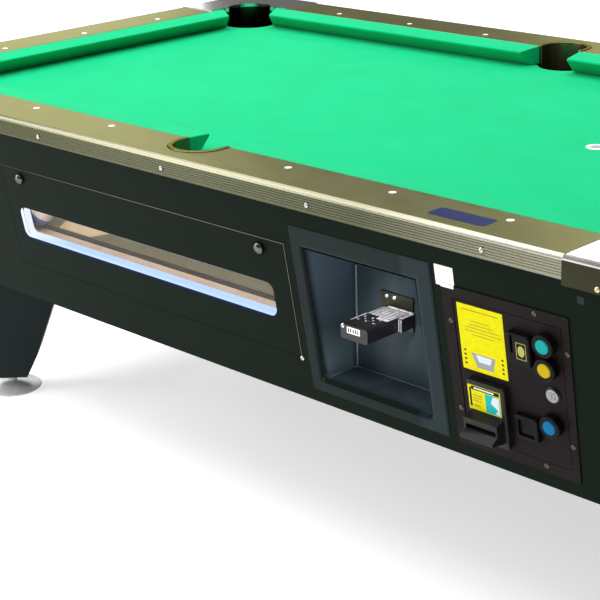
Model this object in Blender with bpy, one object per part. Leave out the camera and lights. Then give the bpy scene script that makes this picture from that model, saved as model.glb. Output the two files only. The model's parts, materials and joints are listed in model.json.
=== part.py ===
import math

import bpy
import bmesh

# Coin-operated pool table. Metres, +Z up, origin on the floor under the middle of the table.
# +X runs along the length, and the coin side faces -Y.
MM = 0.001

# Playing surface, measured between the cushion noses
PLAY_LENGTH = 1930.4 * MM
PLAY_WIDTH = 965.2 * MM
BED_DROP = 42 * MM
CLOTH_THICK = 0.7 * MM
SLATE_THICK = 19 * MM
SLATE_MARGIN = 48 * MM

# Top rail, cushions and edge trim
RAIL_TOP = 800 * MM
RAIL_WIDTH = 111 * MM
RAIL_THICK = 38.2 * MM
CUSHION_DEPTH = 62 * MM
CUSHION_FOOT = 26 * MM
NOSE_HEIGHT = 36.5 * MM
NOSE_THICK = 5 * MM
TRIM_THICK = 6.3 * MM
TRIM_NOSE_WIDTH = 6 * MM
TRIM_NOSE_DROP = 8.5 * MM
FLUTE_COUNT = 6
FLUTE_DEPTH = 1.1 * MM
FLUTE_SHAPE = (0.25, 0.6, 0.75)

# Pockets
CORNER_POCKET_RADIUS = 57 * MM
CORNER_POCKET_SHIFT = 22 * MM
SIDE_POCKET_RADIUS = 50 * MM
SIDE_POCKET_SHIFT = 82.4 * MM
LINER_THICK = 10 * MM
LINER_PROUD = 2 * MM
LINER_DROP = 62 * MM
LINER_SWEEP = 105
CORNER_MOUTH = 74 * MM
CORNER_JAW = 0.62
SIDE_MOUTH = 64 * MM
SIDE_JAW = 0.15

# Corner castings
CAP_LENGTH = 262 * MM
CAP_PROUD = 2 * MM
CAP_PLATE = 6 * MM
CAP_DROP = 45.7 * MM
CAP_CORNER = 46 * MM
CAP_BEVEL = 4 * MM

# Cabinet, whose four walls lean inward going down
CABINET_STEP = 10 * MM
CABINET_HEIGHT = 380.1 * MM
WALL_LEAN = 0.1715
WALL = 18 * MM
FLOOR_THICK = 18 * MM
FLOOR_RISE = 4 * MM
SUPPORT_WIDTH = 60 * MM
SUPPORT_DEPTH = 90 * MM
SUPPORT_INSET = 100 * MM
SUPPORT_FROM_RECESS = 36 * MM

# Legs and levelling feet
LEG_FROM_END = 133.6 * MM
LEG_FROM_SIDE = 195 * MM
LEG_BOTTOM = 40 * MM
LEG_FOOT_WIDTH = 88 * MM
LEG_TOP_REACH_IN = 184 * MM
LEG_TOP_REACH_OUT = 92 * MM
LEG_TOP_THICK = 124 * MM
LEG_KNEE = 58 * MM
LEG_KNEE_FLARE = 6 * MM
FOOT_RADIUS = 70 * MM
FOOT_DOME = 16 * MM
FOOT_SHAPE = ((0.96, 0), (1, 0.2), (0.97, 0.4), (0.7, 0.65), (0.3, 1))
FOOT_NECK = 17.6 * MM
STEM_RADIUS = 10 * MM
STEM_REACH = 70 * MM

# Ball door on the front, in face coordinates: along X, then up the leaning face
DOOR_FROM_END = 423.2 * MM
DOOR_FROM_RECESS = 18 * MM
DOOR_LOW = 84 * MM
DOOR_HIGH = 310 * MM
WINDOW_FROM_LEFT = 41 * MM
WINDOW_FROM_RIGHT = 48 * MM
WINDOW_LOW = 155 * MM
WINDOW_HIGH = 220 * MM
WINDOW_CORNER = 14 * MM
PANE_MARGIN = 16 * MM
PANE_THICK = 4 * MM
LIGHT_WALL = 2.5 * MM
KNOB_INSET = 64 * MM
KNOB_DROP = 22 * MM
KNOB_RADIUS = 12 * MM
KNOB_PROUD = 10 * MM
KNOB_SHAPE = ((1, 0.3), (0.92, 0.6), (0.65, 0.88), (0.25, 1))
KNOB_BASE = 10.8 * MM
TRAY_DEPTH = 92 * MM
TRAY_WALL = 12 * MM
TRAY_SLOT = 9 * MM
TRAY_LEDGE = 30 * MM
TRAY_RISE = 16 * MM
TRAY_HEIGHT = 90 * MM

# Coin recess and push-in coin slide
RECESS_WIDTH = 314 * MM
RECESS_FROM_PAY = 20 * MM
RECESS_LOW = 27 * MM
RECESS_HIGH = 350 * MM
RECESS_RIM = 27 * MM
RECESS_RIM_TOP = 40 * MM
RECESS_RIM_RIGHT = 37 * MM
RECESS_PROUD = 3 * MM
RECESS_DRAFT = 17 * MM
RECESS_SKIN = 4 * MM
RECESS_DEPTH = 62 * MM
RECESS_BACK_RISE = 59.3 * MM
RECESS_BACK_HEIGHT = 192 * MM
SLIDE_FROM_LEFT = 141 * MM
SLIDE_RISE = 178.3 * MM
SLIDE_WIDTH = 61 * MM
SLIDE_HEIGHT = 26 * MM
SLIDE_SHOWN = 112 * MM
SLIDE_HIDDEN = 130 * MM
SLIDE_EDGE = 3.2 * MM
COIN_SLOTS = 6
COIN_SLOT_WIDTH = 3.2 * MM
COIN_SLOT_LENGTH = 27 * MM
COIN_SLOT_DEPTH = 16 * MM
PLATE_WIDTH = 74 * MM
PLATE_HEIGHT = 62 * MM
PLATE_RISE = 10 * MM
PLATE_THICK = 3.5 * MM
MECH_WALL = 4 * MM
MECH_LENGTH = 98 * MM
ROD_SIZE = 10 * MM
ROD_FROM_END = 5 * MM
ROD_LENGTH = 190 * MM
CASH_WIDTH = 150 * MM
CASH_DEPTH = 110 * MM
CASH_HEIGHT = 95 * MM
CASH_WALL = 2.5 * MM
CASH_CORNER = 3 * MM

# Ball gate behind the tray
GATE_THICK = 4 * MM
GATE_PIN = 4 * MM

# Gully channels that carry the balls from the pockets
GULLY_WIDTH = 84 * MM
GULLY_DEPTH = 46 * MM
GULLY_WALL = 8 * MM
INLET_FROM_LEFT = 127 * MM

# Pay panel, in face coordinates. What it carries is placed from its left edge.
PAY_WIDTH = 242 * MM
PAY_FROM_END = 83.2 * MM
PAY_LOW = 27 * MM
PAY_HIGH = 320 * MM
PAY_FLANGE = 20.5 * MM
PAY_FLANGE_RIGHT = 14.5 * MM
PAY_SLEEVE = 8 * MM
PAY_SLEEVE_RIGHT = 3 * MM
PAY_PROUD = 2.5 * MM
PAY_DOOR_THICK = 4 * MM
PAY_DOOR_GAP = 0.8 * MM
BEZEL_EDGE = 1.5 * MM
BUTTON_EDGE = 1.2 * MM
PIVOT_RADIUS = 1.2 * MM
PIVOT_REACH = 5 * MM
BUTTON_ALONG = 200 * MM
BUTTON_HEIGHTS = (266.7 * MM, 225.6 * MM, 123.8 * MM)
BUTTON_NAMES = ("button_green", "button_yellow", "button_blue")
BUTTON_HOUSING_RADIUS = 19.5 * MM
BUTTON_HOUSING_PROUD = 13.5 * MM
BUTTON_RADIUS = 12 * MM
BUTTON_DEPTH = 6 * MM
BUTTON_PROUD = 1.5 * MM
BUTTON_TRAVEL = 4 * MM
LOCK_ALONG = 203.7 * MM
LOCK_V = 177.1 * MM
LOCK_RIM = 11.5 * MM
LOCK_BARREL = 8 * MM
LOCK_PLUG = 6 * MM
LOCK_PROUD = 4 * MM
LOCK_LENGTH = 20 * MM
KEYWAY_WIDTH = 1.5 * MM
KEYWAY_LENGTH = 6 * MM
CAM_LENGTH = 31 * MM
CAM_WIDTH = 10 * MM
CAM_THICK = 3 * MM
COIN_ALONG = 131 * MM
COIN_WIDTH = 43 * MM
COIN_LOW = 220 * MM
COIN_HIGH = 274 * MM
COIN_PROUD = 12 * MM
COIN_ENTRY_ALONG = 140.5 * MM
COIN_ENTRY_DROP = 18.6 * MM
COIN_ENTRY_WIDTH = 4.6 * MM
COIN_ENTRY_HEIGHT = 31 * MM
SELECTOR_DEPTH = 70 * MM
RETURN_ALONG = 130 * MM
RETURN_WIDTH = 44 * MM
RETURN_LOW = 83 * MM
RETURN_HIGH = 126 * MM
RETURN_PROUD = 10 * MM
RETURN_RIM = 7 * MM
RETURN_SKIN = 2.5 * MM
RETURN_DEPTH = 40 * MM
FLAP_THICK = 2 * MM
FLAP_INSET = 4 * MM
NOTE_ALONG = 40 * MM
NOTE_WIDTH = 75 * MM
NOTE_LOW = 52 * MM
NOTE_HIGH = 164 * MM
NOTE_FACE = 12 * MM
NOTE_LIP = 32 * MM
NOTE_LIP_HIGH = 106 * MM
NOTE_LIP_INSET = 4 * MM
NOTE_JAW = 46 * MM
NOTE_JAW_LOW = 76 * MM
NOTE_JAW_HIGH = 80 * MM
NOTE_ENTRY_V = 91 * MM
NOTE_ENTRY_HEIGHT = 8 * MM
STACKER_DEPTH = 120 * MM

# Cue-ball return at the foot end
CUE_WIDTH = 120 * MM
CUE_HEIGHT = 96 * MM
CUE_CLEAR = 2.9 * MM
CUE_DEPTH = 150 * MM
CUE_SKIN = 4 * MM
CUE_RIM = 14 * MM
CUE_PROUD = 3 * MM

# Corner rounding of panels, and clearances
PANEL_CORNER = 3 * MM
SEAT = 0.3 * MM
RUN = 0.4 * MM
ROUND = 24
SHARP_ANGLE = math.radians(35)

# Levels and distances that follow from the sizes above
half_length = PLAY_LENGTH / 2
half_width = PLAY_WIDTH / 2
rail_out = CUSHION_DEPTH + RAIL_WIDTH
trim_out = rail_out + SEAT + TRIM_THICK
rail_low = RAIL_TOP - RAIL_THICK
bed_top = RAIL_TOP - BED_DROP
cabinet_top = rail_low - SEAT
cabinet_bottom = rail_low - CABINET_HEIGHT
lean = math.atan(WALL_LEAN)
side_top = half_width + trim_out - CABINET_STEP
end_top = half_length + trim_out - CABINET_STEP
bottom_x = end_top - CABINET_HEIGHT * WALL_LEAN
bottom_y = side_top - CABINET_HEIGHT * WALL_LEAN
pay_right = half_length - PAY_FROM_END
pay_left = pay_right - PAY_WIDTH
recess_right = pay_left - RECESS_FROM_PAY
recess_left = recess_right - RECESS_WIDTH
door_left = -half_length + DOOR_FROM_END
door_right = recess_left - DOOR_FROM_RECESS
window_left = door_left + WINDOW_FROM_LEFT
window_right = door_right - WINDOW_FROM_RIGHT
slide_x = recess_left + SLIDE_FROM_LEFT
inlet_x = door_left + INLET_FROM_LEFT
button_x = pay_left + BUTTON_ALONG
lock_x = pay_left + LOCK_ALONG
coin_left = pay_left + COIN_ALONG
coin_right = coin_left + COIN_WIDTH
coin_entry_x = pay_left + COIN_ENTRY_ALONG
return_left = pay_left + RETURN_ALONG
return_right = return_left + RETURN_WIDTH
note_left = pay_left + NOTE_ALONG
note_right = note_left + NOTE_WIDTH
face_low_y = -bottom_y
slate_top = bed_top - CLOTH_THICK - SEAT
slate_low = slate_top - SLATE_THICK
support_top = slate_low - SEAT
support_low = support_top - SUPPORT_DEPTH
stringer_low = support_low + SUPPORT_WIDTH / 2
gully_top = stringer_low - SEAT
spine_low = gully_top - 2 * GULLY_DEPTH
cue_high = spine_low - CUE_CLEAR - cabinet_bottom - CUE_DEPTH * math.sin(lean)
cue_v = cue_high / math.cos(lean) - CUE_HEIGHT / 2
floor_low = cabinet_bottom + FLOOR_RISE
floor_top = floor_low + FLOOR_THICK
leg_x = bottom_x - LEG_FROM_END
leg_y = bottom_y - LEG_FROM_SIDE
recess_back_y = face_low_y + RECESS_DEPTH
recess_back_low = cabinet_bottom + RECESS_BACK_RISE
recess_back_high = recess_back_low + RECESS_BACK_HEIGHT
slide_z = cabinet_bottom + SLIDE_RISE

for item in list(bpy.data.objects):
    bpy.data.objects.remove(item, do_unlink=True)


# Shapes are pairs of a point list and a face list, gathered into one object by node().
def loft(rings, closed=False):
    count = len(rings[0])
    points = [point for ring in rings for point in ring]
    faces = []
    spans = len(rings) if closed else len(rings) - 1
    for span in range(spans):
        low = span * count
        high = (span + 1) % len(rings) * count
        for step in range(count):
            following = (step + 1) % count
            faces.append((low + step, low + following, high + following, high + step))
    if not closed:
        faces.append(tuple(range(count)))
        faces.append(tuple(range(len(points) - count, len(points))))
    return points, faces


def placed(outline, level, axis):
    orders = {"x": lambda a, b: (level, a, b),
              "y": lambda a, b: (a, level, b),
              "z": lambda a, b: (a, b, level)}
    return [orders[axis](a, b) for a, b in outline]


def prism(outline, low, high, axis="z"):
    return loft([placed(outline, low, axis), placed(outline, high, axis)])


def box(x_low, x_high, y_low, y_high, z_low, z_high):
    return prism([(x_low, y_low), (x_high, y_low), (x_high, y_high), (x_low, y_high)], z_low, z_high)


def arc(centre, radius, start, end, steps):
    turns = [math.radians(start + (end - start) * step / steps) for step in range(steps + 1)]
    return [(centre[0] + radius * math.cos(turn), centre[1] + radius * math.sin(turn)) for turn in turns]


def circle(centre, radius, steps=ROUND):
    return arc(centre, radius, 0, 360, steps)[:-1]


def rounded(low_a, high_a, low_b, high_b, radius, steps=4):
    corners = [(high_a - radius, high_b - radius, 0), (low_a + radius, high_b - radius, 90),
               (low_a + radius, low_b + radius, 180), (high_a - radius, low_b + radius, 270)]
    outline = []
    for a, b, start in corners:
        outline += arc((a, b), radius, start, start + 90, steps)
    return outline


def turned(profile, centre, axis="z", steps=ROUND, closed=False):
    rings = [placed(circle(centre, radius, steps), level, axis) for radius, level in profile]
    return loft(rings, closed)


def mirrored(shape, x_sign, y_sign):
    points, faces = shape
    return [(x * x_sign, y * y_sign, z) for x, y, z in points], faces


def shifted(shape, x=0.0, y=0.0, z=0.0):
    points, faces = shape
    return [(a + x, b + y, c + z) for a, b, c in points], faces


def mesh_of(name, shapes):
    build = bmesh.new()
    for points, faces in shapes:
        corners = [build.verts.new(point) for point in points]
        for face in faces:
            build.faces.new([corners[index] for index in face])
    bmesh.ops.recalc_face_normals(build, faces=build.faces[:])
    mesh = bpy.data.meshes.new(name)
    build.to_mesh(mesh)
    build.free()
    return mesh


def finish(name, colour, roughness, metallic=0.0):
    material = bpy.data.materials.new(name)
    material.use_nodes = True
    shader = material.node_tree.nodes["Principled BSDF"]
    shader.inputs["Base Color"].default_value = (*colour, 1.0)
    shader.inputs["Roughness"].default_value = roughness
    shader.inputs["Metallic"].default_value = metallic
    return material


def combine(target, shape, operation, parent):
    tool = bpy.data.objects.new(target.name + "_tool", mesh_of(target.name + "_tool", [shape]))
    bpy.context.scene.collection.objects.link(tool)
    tool.hide_render = True
    tool.display_type = "WIRE"
    tool.parent = parent
    change = target.modifiers.new(operation.lower(), "BOOLEAN")
    change.operation = operation
    change.object = tool
    return tool


# One object for each sub-part: its bodies, then what is fused on, then what is cut away.
def node(name, shapes, material, parent=None, fused=(), cuts=(), pivot=(0, 0, 0)):
    home = [-part for part in pivot]
    piece = bpy.data.objects.new(name, mesh_of(name, [shifted(shape, *home) for shape in shapes]))
    bpy.context.scene.collection.objects.link(piece)
    piece.parent = parent
    piece.location = pivot
    for shape in fused:
        combine(piece, shape, "UNION", parent)
    for shape in cuts:
        combine(piece, shape, "DIFFERENCE", parent)
    own = material.copy()
    own.name = name
    piece.data.materials.append(own)
    piece.data.shade_smooth()
    piece.data.set_sharp_from_angle(angle=SHARP_ANGLE)
    return piece


def empty(name, place, turn=(0, 0, 0)):
    guide = bpy.data.objects.new(name, None)
    bpy.context.scene.collection.objects.link(guide)
    guide.location = place
    guide.rotation_euler = turn
    return guide


# Finishes
slate_grey = finish("slate_grey", (0.16, 0.17, 0.18), 0.8)
green_cloth = finish("green_cloth", (0.03, 0.66, 0.33), 0.95)
bronze_laminate = finish("bronze_laminate", (0.25, 0.22, 0.12), 0.4, 0.3)
bare_aluminium = finish("bare_aluminium", (0.72, 0.7, 0.6), 0.35, 1.0)
polished_cap = finish("polished_cap", (0.78, 0.74, 0.64), 0.2, 1.0)
bronze_metal = finish("bronze_metal", (0.16, 0.12, 0.07), 0.35, 0.9)
zinc = finish("zinc", (0.6, 0.61, 0.62), 0.4, 1.0)
chrome = finish("chrome", (0.8, 0.8, 0.82), 0.12, 1.0)
dark_laminate = finish("dark_laminate", (0.014, 0.02, 0.017), 0.35)
blue_black = finish("blue_black", (0.012, 0.02, 0.03), 0.2)
black_metal = finish("black_metal", (0.02, 0.017, 0.017), 0.45)
black_plastic = finish("black_plastic", (0.012, 0.012, 0.013), 0.35)
clear_acrylic = finish("clear_acrylic", (0.9, 0.95, 1.0), 0.05)
light_diffuser = finish("light_diffuser", (0.75, 0.86, 1.0), 0.4)
beech = finish("beech", (0.62, 0.5, 0.34), 0.5)
pine = finish("pine", (0.5, 0.38, 0.24), 0.7)
sheet_steel = finish("sheet_steel", (0.45, 0.46, 0.47), 0.45, 1.0)
teal = finish("teal", (0.02, 0.5, 0.42), 0.25)
yellow = finish("yellow", (0.85, 0.55, 0.02), 0.25)
blue = finish("blue", (0.01, 0.22, 0.65), 0.25)


# Pockets: middle of each hole in plan
corner_x = half_length + CORNER_POCKET_SHIFT
corner_y = half_width + CORNER_POCKET_SHIFT
side_y = half_width + SIDE_POCKET_SHIFT
quarters = [(x, y) for x in (-1, 1) for y in (-1, 1)]


def pocket_holes(extra, low, high):
    holes = [turned([(CORNER_POCKET_RADIUS + extra, low), (CORNER_POCKET_RADIUS + extra, high)],
                    (x * corner_x, y * corner_y)) for x, y in quarters]
    holes += [turned([(SIDE_POCKET_RADIUS + extra, low), (SIDE_POCKET_RADIUS + extra, high)],
                     (0, y * side_y)) for y in (-1, 1)]
    return holes


# Slate and cloth, both notched at the pockets
slate_x = half_length + SLATE_MARGIN
slate_y = half_width + SLATE_MARGIN
liner_extra = LINER_THICK + SEAT
node("slate_bed", [box(-slate_x, slate_x, -slate_y, slate_y, slate_low, slate_top)], slate_grey,
     cuts=pocket_holes(liner_extra, slate_low - WALL, slate_top + WALL))
node("bed_cloth", [box(-slate_x, slate_x, -slate_y, slate_y, bed_top - CLOTH_THICK, bed_top)], green_cloth,
     cuts=pocket_holes(liner_extra, slate_low, bed_top + WALL))

# Top rail, cut down under the corner castings
cap_start_x = half_length + trim_out - CAP_LENGTH
cap_start_y = half_width + trim_out - CAP_LENGTH
cap_low_face = RAIL_TOP - CAP_PLATE
rail_x = half_length + rail_out
rail_y = half_width + rail_out
opening_x = half_length + CUSHION_DEPTH
opening_y = half_width + CUSHION_DEPTH
side_arm = SIDE_POCKET_RADIUS + liner_extra
side_arms = box(-side_arm, side_arm, opening_y - WALL, side_y, rail_low - WALL, RAIL_TOP + WALL)
corner_cuts = []
for x, y in quarters:
    corner_cuts.append(mirrored(box(cap_start_x - SEAT, rail_x + WALL, cap_start_y - SEAT, rail_y + WALL,
                                    cap_low_face - SEAT, RAIL_TOP + WALL), x, y))
node("top_rail", [box(-rail_x, rail_x, -rail_y, rail_y, rail_low, RAIL_TOP)], bronze_laminate,
     cuts=[box(-opening_x, opening_x, -opening_y, opening_y, rail_low - WALL, RAIL_TOP + WALL)]
     + pocket_holes(liner_extra, rail_low - WALL, RAIL_TOP + WALL) + corner_cuts
     + [mirrored(side_arms, 1, y) for y in (-1, 1)])

# Cushions: a wedge section swept along each rail, with slanted jaws at the pockets
cushion_low = bed_top + SEAT
cushion_back = CUSHION_DEPTH - SEAT
nose_top = bed_top + NOSE_HEIGHT
section = [(0, nose_top), (0, nose_top - NOSE_THICK), (cushion_back - CUSHION_FOOT, cushion_low),
           (cushion_back, cushion_low), (cushion_back, RAIL_TOP)]


def cushion(start, end, start_jaw, end_jaw):
    return loft([[(start + jaw * d if jaw_end == 0 else end - jaw * d, d, z) for d, z in section]
                 for jaw_end, jaw in ((0, start_jaw), (1, end_jaw))])


def on_long_rail(shape, x_sign, y_sign):
    points, faces = shape
    return [(x * x_sign, (half_width + d) * y_sign, z) for x, d, z in points], faces


def on_end_rail(shape, x_sign):
    points, faces = shape
    return [((half_length + d) * x_sign, x, z) for x, d, z in points], faces


for x, x_name in ((-1, "left"), (1, "right")):
    for y, y_name in ((-1, "front"), (1, "back")):
        wedge = cushion(SIDE_MOUTH, half_length - CORNER_MOUTH, -SIDE_JAW, -CORNER_JAW)
        node(f"cushion_{y_name}_{x_name}", [on_long_rail(wedge, x, y)], green_cloth)
    reach = half_width - CORNER_MOUTH
    wedge = cushion(-reach, reach, -CORNER_JAW, -CORNER_JAW)
    node(f"cushion_end_{x_name}", [on_end_rail(wedge, x)], green_cloth)

# Bronze U liners of the side pockets, with a lip proud of the rail
liner_low = RAIL_TOP - LINER_DROP
liner_top = RAIL_TOP + LINER_PROUD


def side_liner(y_sign):
    inner_edge = half_width + CUSHION_DEPTH
    outer = SIDE_POCKET_RADIUS + LINER_THICK
    path = [(outer, inner_edge)] + arc((0, side_y), outer, 0, 180, ROUND // 2) + [(-outer, inner_edge)]
    path += [(-SIDE_POCKET_RADIUS, inner_edge)] + arc((0, side_y), SIDE_POCKET_RADIUS, 180, 0, ROUND // 2)
    path += [(SIDE_POCKET_RADIUS, inner_edge)]
    return mirrored(prism(path, liner_low, liner_top), 1, y_sign)


for y, y_name in ((-1, "front"), (1, "back")):
    node(f"side_pocket_liner_{y_name}", [side_liner(y)], bronze_metal)


# Corner castings: a plate over the rail and a skirt down its outer side
def cap_outline(inset, inner):
    # The L from one rail to the other. Inset draws in the outer edge, and inner is the width kept inside.
    x_out = half_length + trim_out + CAP_PROUD - inset
    y_out = half_width + trim_out + CAP_PROUD - inset
    turn = CAP_CORNER - inset
    outer = [(cap_start_x + inset, y_out)]
    outer += arc((x_out - turn, y_out - turn), turn, 90, 0, 6)
    outer += [(x_out, cap_start_y + inset)]
    return outer + [(half_length + inner, cap_start_y + inset), (half_length + inner, half_width + inner),
                    (cap_start_x + inset, half_width + inner)]


cap_low = RAIL_TOP - CAP_DROP
cap_top = RAIL_TOP + CAP_PROUD
cap_hollow_x = half_length + rail_out + SEAT
cap_hollow_y = half_width + rail_out + SEAT
collar_sweep = (45 - LINER_SWEEP, 45 + LINER_SWEEP)
collar_steps = round(ROUND * LINER_SWEEP / 180)
for x, x_name in ((-1, "left"), (1, "right")):
    for y, y_name in ((-1, "front"), (1, "back")):
        body = loft([placed(cap_outline(inset, CUSHION_DEPTH), level, "z")
                     for inset, level in ((0, cap_low), (0, cap_top - CAP_BEVEL), (CAP_BEVEL, cap_top))])
        hollow = box(0, cap_hollow_x, 0, cap_hollow_y, cap_low - WALL, cap_low_face)
        pocket = (corner_x, corner_y)
        collar_path = arc(pocket, CORNER_POCKET_RADIUS + LINER_THICK, *collar_sweep, collar_steps)
        collar_path += arc(pocket, CORNER_POCKET_RADIUS, *collar_sweep[::-1], collar_steps)
        collar = prism(collar_path, liner_low, liner_top)
        mouth = turned([(CORNER_POCKET_RADIUS, level) for level in (cap_low - WALL, cap_top + WALL)], pocket)
        piece = node(f"corner_cap_{y_name}_{x_name}", [mirrored(body, x, y)], polished_cap,
                     cuts=[mirrored(hollow, x, y), mirrored(mouth, x, y)])
        combine(piece, mirrored(collar, x, y), "UNION", None)


# Edge trim: an extrusion with a rounded nose on top and flutes down its side
def trim_section():
    inner = rail_out + SEAT
    outer = inner + TRIM_THICK
    points = [(inner, rail_low), (inner, RAIL_TOP)]
    for across, up in arc((0, 0), 1, 90, 0, ROUND // 4):
        points.append((outer - TRIM_NOSE_WIDTH * (1 - across), RAIL_TOP - TRIM_NOSE_DROP * (1 - up)))
    flute_high = RAIL_TOP - TRIM_NOSE_DROP - FLUTE_DEPTH
    pitch = (flute_high - rail_low) / (FLUTE_COUNT + 0.5)
    for flute in range(FLUTE_COUNT):
        level = flute_high - flute * pitch
        top, low, end = [level - pitch * share for share in FLUTE_SHAPE]
        points += [(outer, level), (outer - FLUTE_DEPTH, top), (outer - FLUTE_DEPTH, low), (outer, end)]
    return points + [(outer, rail_low)]


trim_reach_x = cap_start_x - SEAT
trim_reach_y = cap_start_y - SEAT
for sign, name in ((-1, "front"), (1, "back")):
    trim = prism([(sign * (half_width + d), z) for d, z in trim_section()], -trim_reach_x, trim_reach_x, "x")
    node(f"edge_trim_{name}", [trim], bare_aluminium)
for sign, name in ((-1, "left"), (1, "right")):
    trim = prism([(sign * (half_length + d), z) for d, z in trim_section()], -trim_reach_y, trim_reach_y, "y")
    node(f"edge_trim_{name}", [trim], bare_aluminium)


# Cabinet walls. A wall plane is named by its inset from the outer face, and every plane leans alike.
def wall_x(inset, z):
    return end_top - (rail_low - z) * WALL_LEAN - inset / math.cos(lean)


def wall_y(inset, z):
    return side_top - (rail_low - z) * WALL_LEAN - inset / math.cos(lean)


def leaning(x_low, x_high, y_low, y_high, z_low, z_high):
    # A block between leaning planes: each limit is a function of the height.
    rings = []
    for z in (z_low, z_high):
        rings.append([(x_low(z), y_low(z), z), (x_high(z), y_low(z), z),
                      (x_high(z), y_high(z), z), (x_low(z), y_high(z), z)])
    return loft(rings)


def long_wall(sign):
    ends = (lambda z: -wall_x(0, z), lambda z: wall_x(0, z))
    faces = (lambda z: wall_y(WALL, z), lambda z: wall_y(0, z))
    return mirrored(leaning(*ends, *faces, cabinet_bottom, cabinet_top), 1, sign)


def end_wall(sign):
    sides = (lambda z: -wall_y(WALL + SEAT, z), lambda z: wall_y(WALL + SEAT, z))
    faces = (lambda z: wall_x(WALL, z), lambda z: wall_x(0, z))
    return mirrored(leaning(*faces, *sides, cabinet_bottom, cabinet_top), sign, 1)


# The front face carries its own guide: X along the table, Y into the cabinet, Z up the leaning face.
front_face = empty("front_face", (0, face_low_y, cabinet_bottom), (lean, 0, 0))
end_face = empty("end_face", (-bottom_x, 0, cabinet_bottom), (0, -lean, 0))


def face_point(x, depth, v):
    return (x, face_low_y + depth * math.cos(lean) - v * math.sin(lean),
            cabinet_bottom + depth * math.sin(lean) + v * math.cos(lean))


through = 3 * WALL
recess_hole = (recess_left + RECESS_RIM / 2, recess_right - RECESS_RIM / 2,
               RECESS_LOW + RECESS_RIM / 2, RECESS_HIGH - RECESS_RIM_TOP / 2)
pay_hole = (pay_left + PAY_FLANGE - PAY_SLEEVE, pay_right - PAY_FLANGE_RIGHT + PAY_SLEEVE_RIGHT,
            PAY_LOW + PAY_FLANGE - PAY_SLEEVE, PAY_HIGH - PAY_FLANGE + PAY_SLEEVE)


def grown(limits, by):
    return (limits[0] - by, limits[1] + by, limits[2] - by, limits[3] + by)


def face_rectangle(limits, radius=PANEL_CORNER):
    return rounded(*limits, radius, 3)


door_limits = (door_left, door_right, DOOR_LOW, DOOR_HIGH)
front = node("cabinet_front", [long_wall(-1)], dark_laminate)
for limits, radius in ((door_limits, PANEL_CORNER), (recess_hole, SEAT), (pay_hole, PANEL_CORNER)):
    hole = face_rectangle(grown(limits, SEAT), radius)
    combine(front, prism(hole, -through, through, "y"), "DIFFERENCE", front_face)
node("cabinet_back", [long_wall(1)], dark_laminate)
cue_hole = (-CUE_WIDTH / 2, CUE_WIDTH / 2, cue_v - CUE_HEIGHT / 2, cue_v + CUE_HEIGHT / 2)
left_wall = node("cabinet_end_left", [end_wall(-1)], dark_laminate)
cue_cut = prism(face_rectangle(grown(cue_hole, SEAT), CUE_RIM), -through, through, "x")
combine(left_wall, cue_cut, "DIFFERENCE", end_face)
node("cabinet_end_right", [end_wall(1)], dark_laminate)
inner = WALL + 2 * SEAT
node("cabinet_floor", [leaning(lambda z: -wall_x(inner, floor_low), lambda z: wall_x(inner, floor_low),
                               lambda z: -wall_y(inner, floor_low), lambda z: wall_y(inner, floor_low),
                               floor_low, floor_top)], dark_laminate)

# One ladder frame under the slate: beams between the long walls, tied by two stringers
beam_middle = recess_left - SUPPORT_FROM_RECESS
beam_end = half_length - SUPPORT_INSET
beam_places = [-beam_end, -beam_middle, beam_middle, beam_end]
stringers = [box(beam_places[0], beam_places[-1], sign * half_width / 2 - SUPPORT_WIDTH / 2,
                 sign * half_width / 2 + SUPPORT_WIDTH / 2, stringer_low, support_top) for sign in (-1, 1)]
beams = []
for place in beam_places:
    beams.append(leaning(lambda z: place - SUPPORT_WIDTH / 2, lambda z: place + SUPPORT_WIDTH / 2,
                         lambda z: -wall_y(inner, z), lambda z: wall_y(inner, z), support_low, support_top))
node("slate_frame", beams[:1], pine, fused=stringers + beams[1:])

# Legs: a fin set across each corner, narrow at the foot, with a levelling foot screwed into it
leg_top = floor_low - SEAT
bore_top = LEG_BOTTOM + STEM_REACH + SEAT


def leg_ring(x_sign, y_sign, inward, outward, thick, z):
    corners = [(inward, thick / 2), (inward, -thick / 2), (-outward, -thick / 2), (-outward, thick / 2)]
    slant = math.sqrt(0.5)
    return [(x_sign * (leg_x - slant * (along + across)), y_sign * (leg_y - slant * (along - across)), z)
            for along, across in corners]


foot_half = LEG_FOOT_WIDTH / 2
knee_share = LEG_KNEE / (leg_top - LEG_BOTTOM)
foot_size = (foot_half, foot_half, LEG_FOOT_WIDTH, LEG_BOTTOM)
top_size = (LEG_TOP_REACH_IN, LEG_TOP_REACH_OUT, LEG_TOP_THICK, leg_top)
knee_size = [low + (high - low) * knee_share for low, high in zip(foot_size, top_size)]
knee_size[0] += LEG_KNEE_FLARE
knee_size[1] += LEG_KNEE_FLARE
foot_profile = [(FOOT_RADIUS * across, FOOT_DOME * up) for across, up in FOOT_SHAPE]
foot_profile += [(STEM_RADIUS, FOOT_NECK), (STEM_RADIUS, LEG_BOTTOM + STEM_REACH)]
for x, x_name in ((-1, "left"), (1, "right")):
    for y, y_name in ((-1, "front"), (1, "back")):
        leg = loft([leg_ring(x, y, *size) for size in (foot_size, knee_size, top_size)])
        bore = turned([(STEM_RADIUS + RUN, LEG_BOTTOM - WALL), (STEM_RADIUS + RUN, bore_top)],
                      (x * leg_x, y * leg_y))
        node(f"leg_{y_name}_{x_name}", [leg], dark_laminate, cuts=[bore])
        node(f"leveller_{y_name}_{x_name}", [turned(foot_profile, (x * leg_x, y * leg_y))], zinc,
             pivot=(x * leg_x, y * leg_y, 0))

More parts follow.
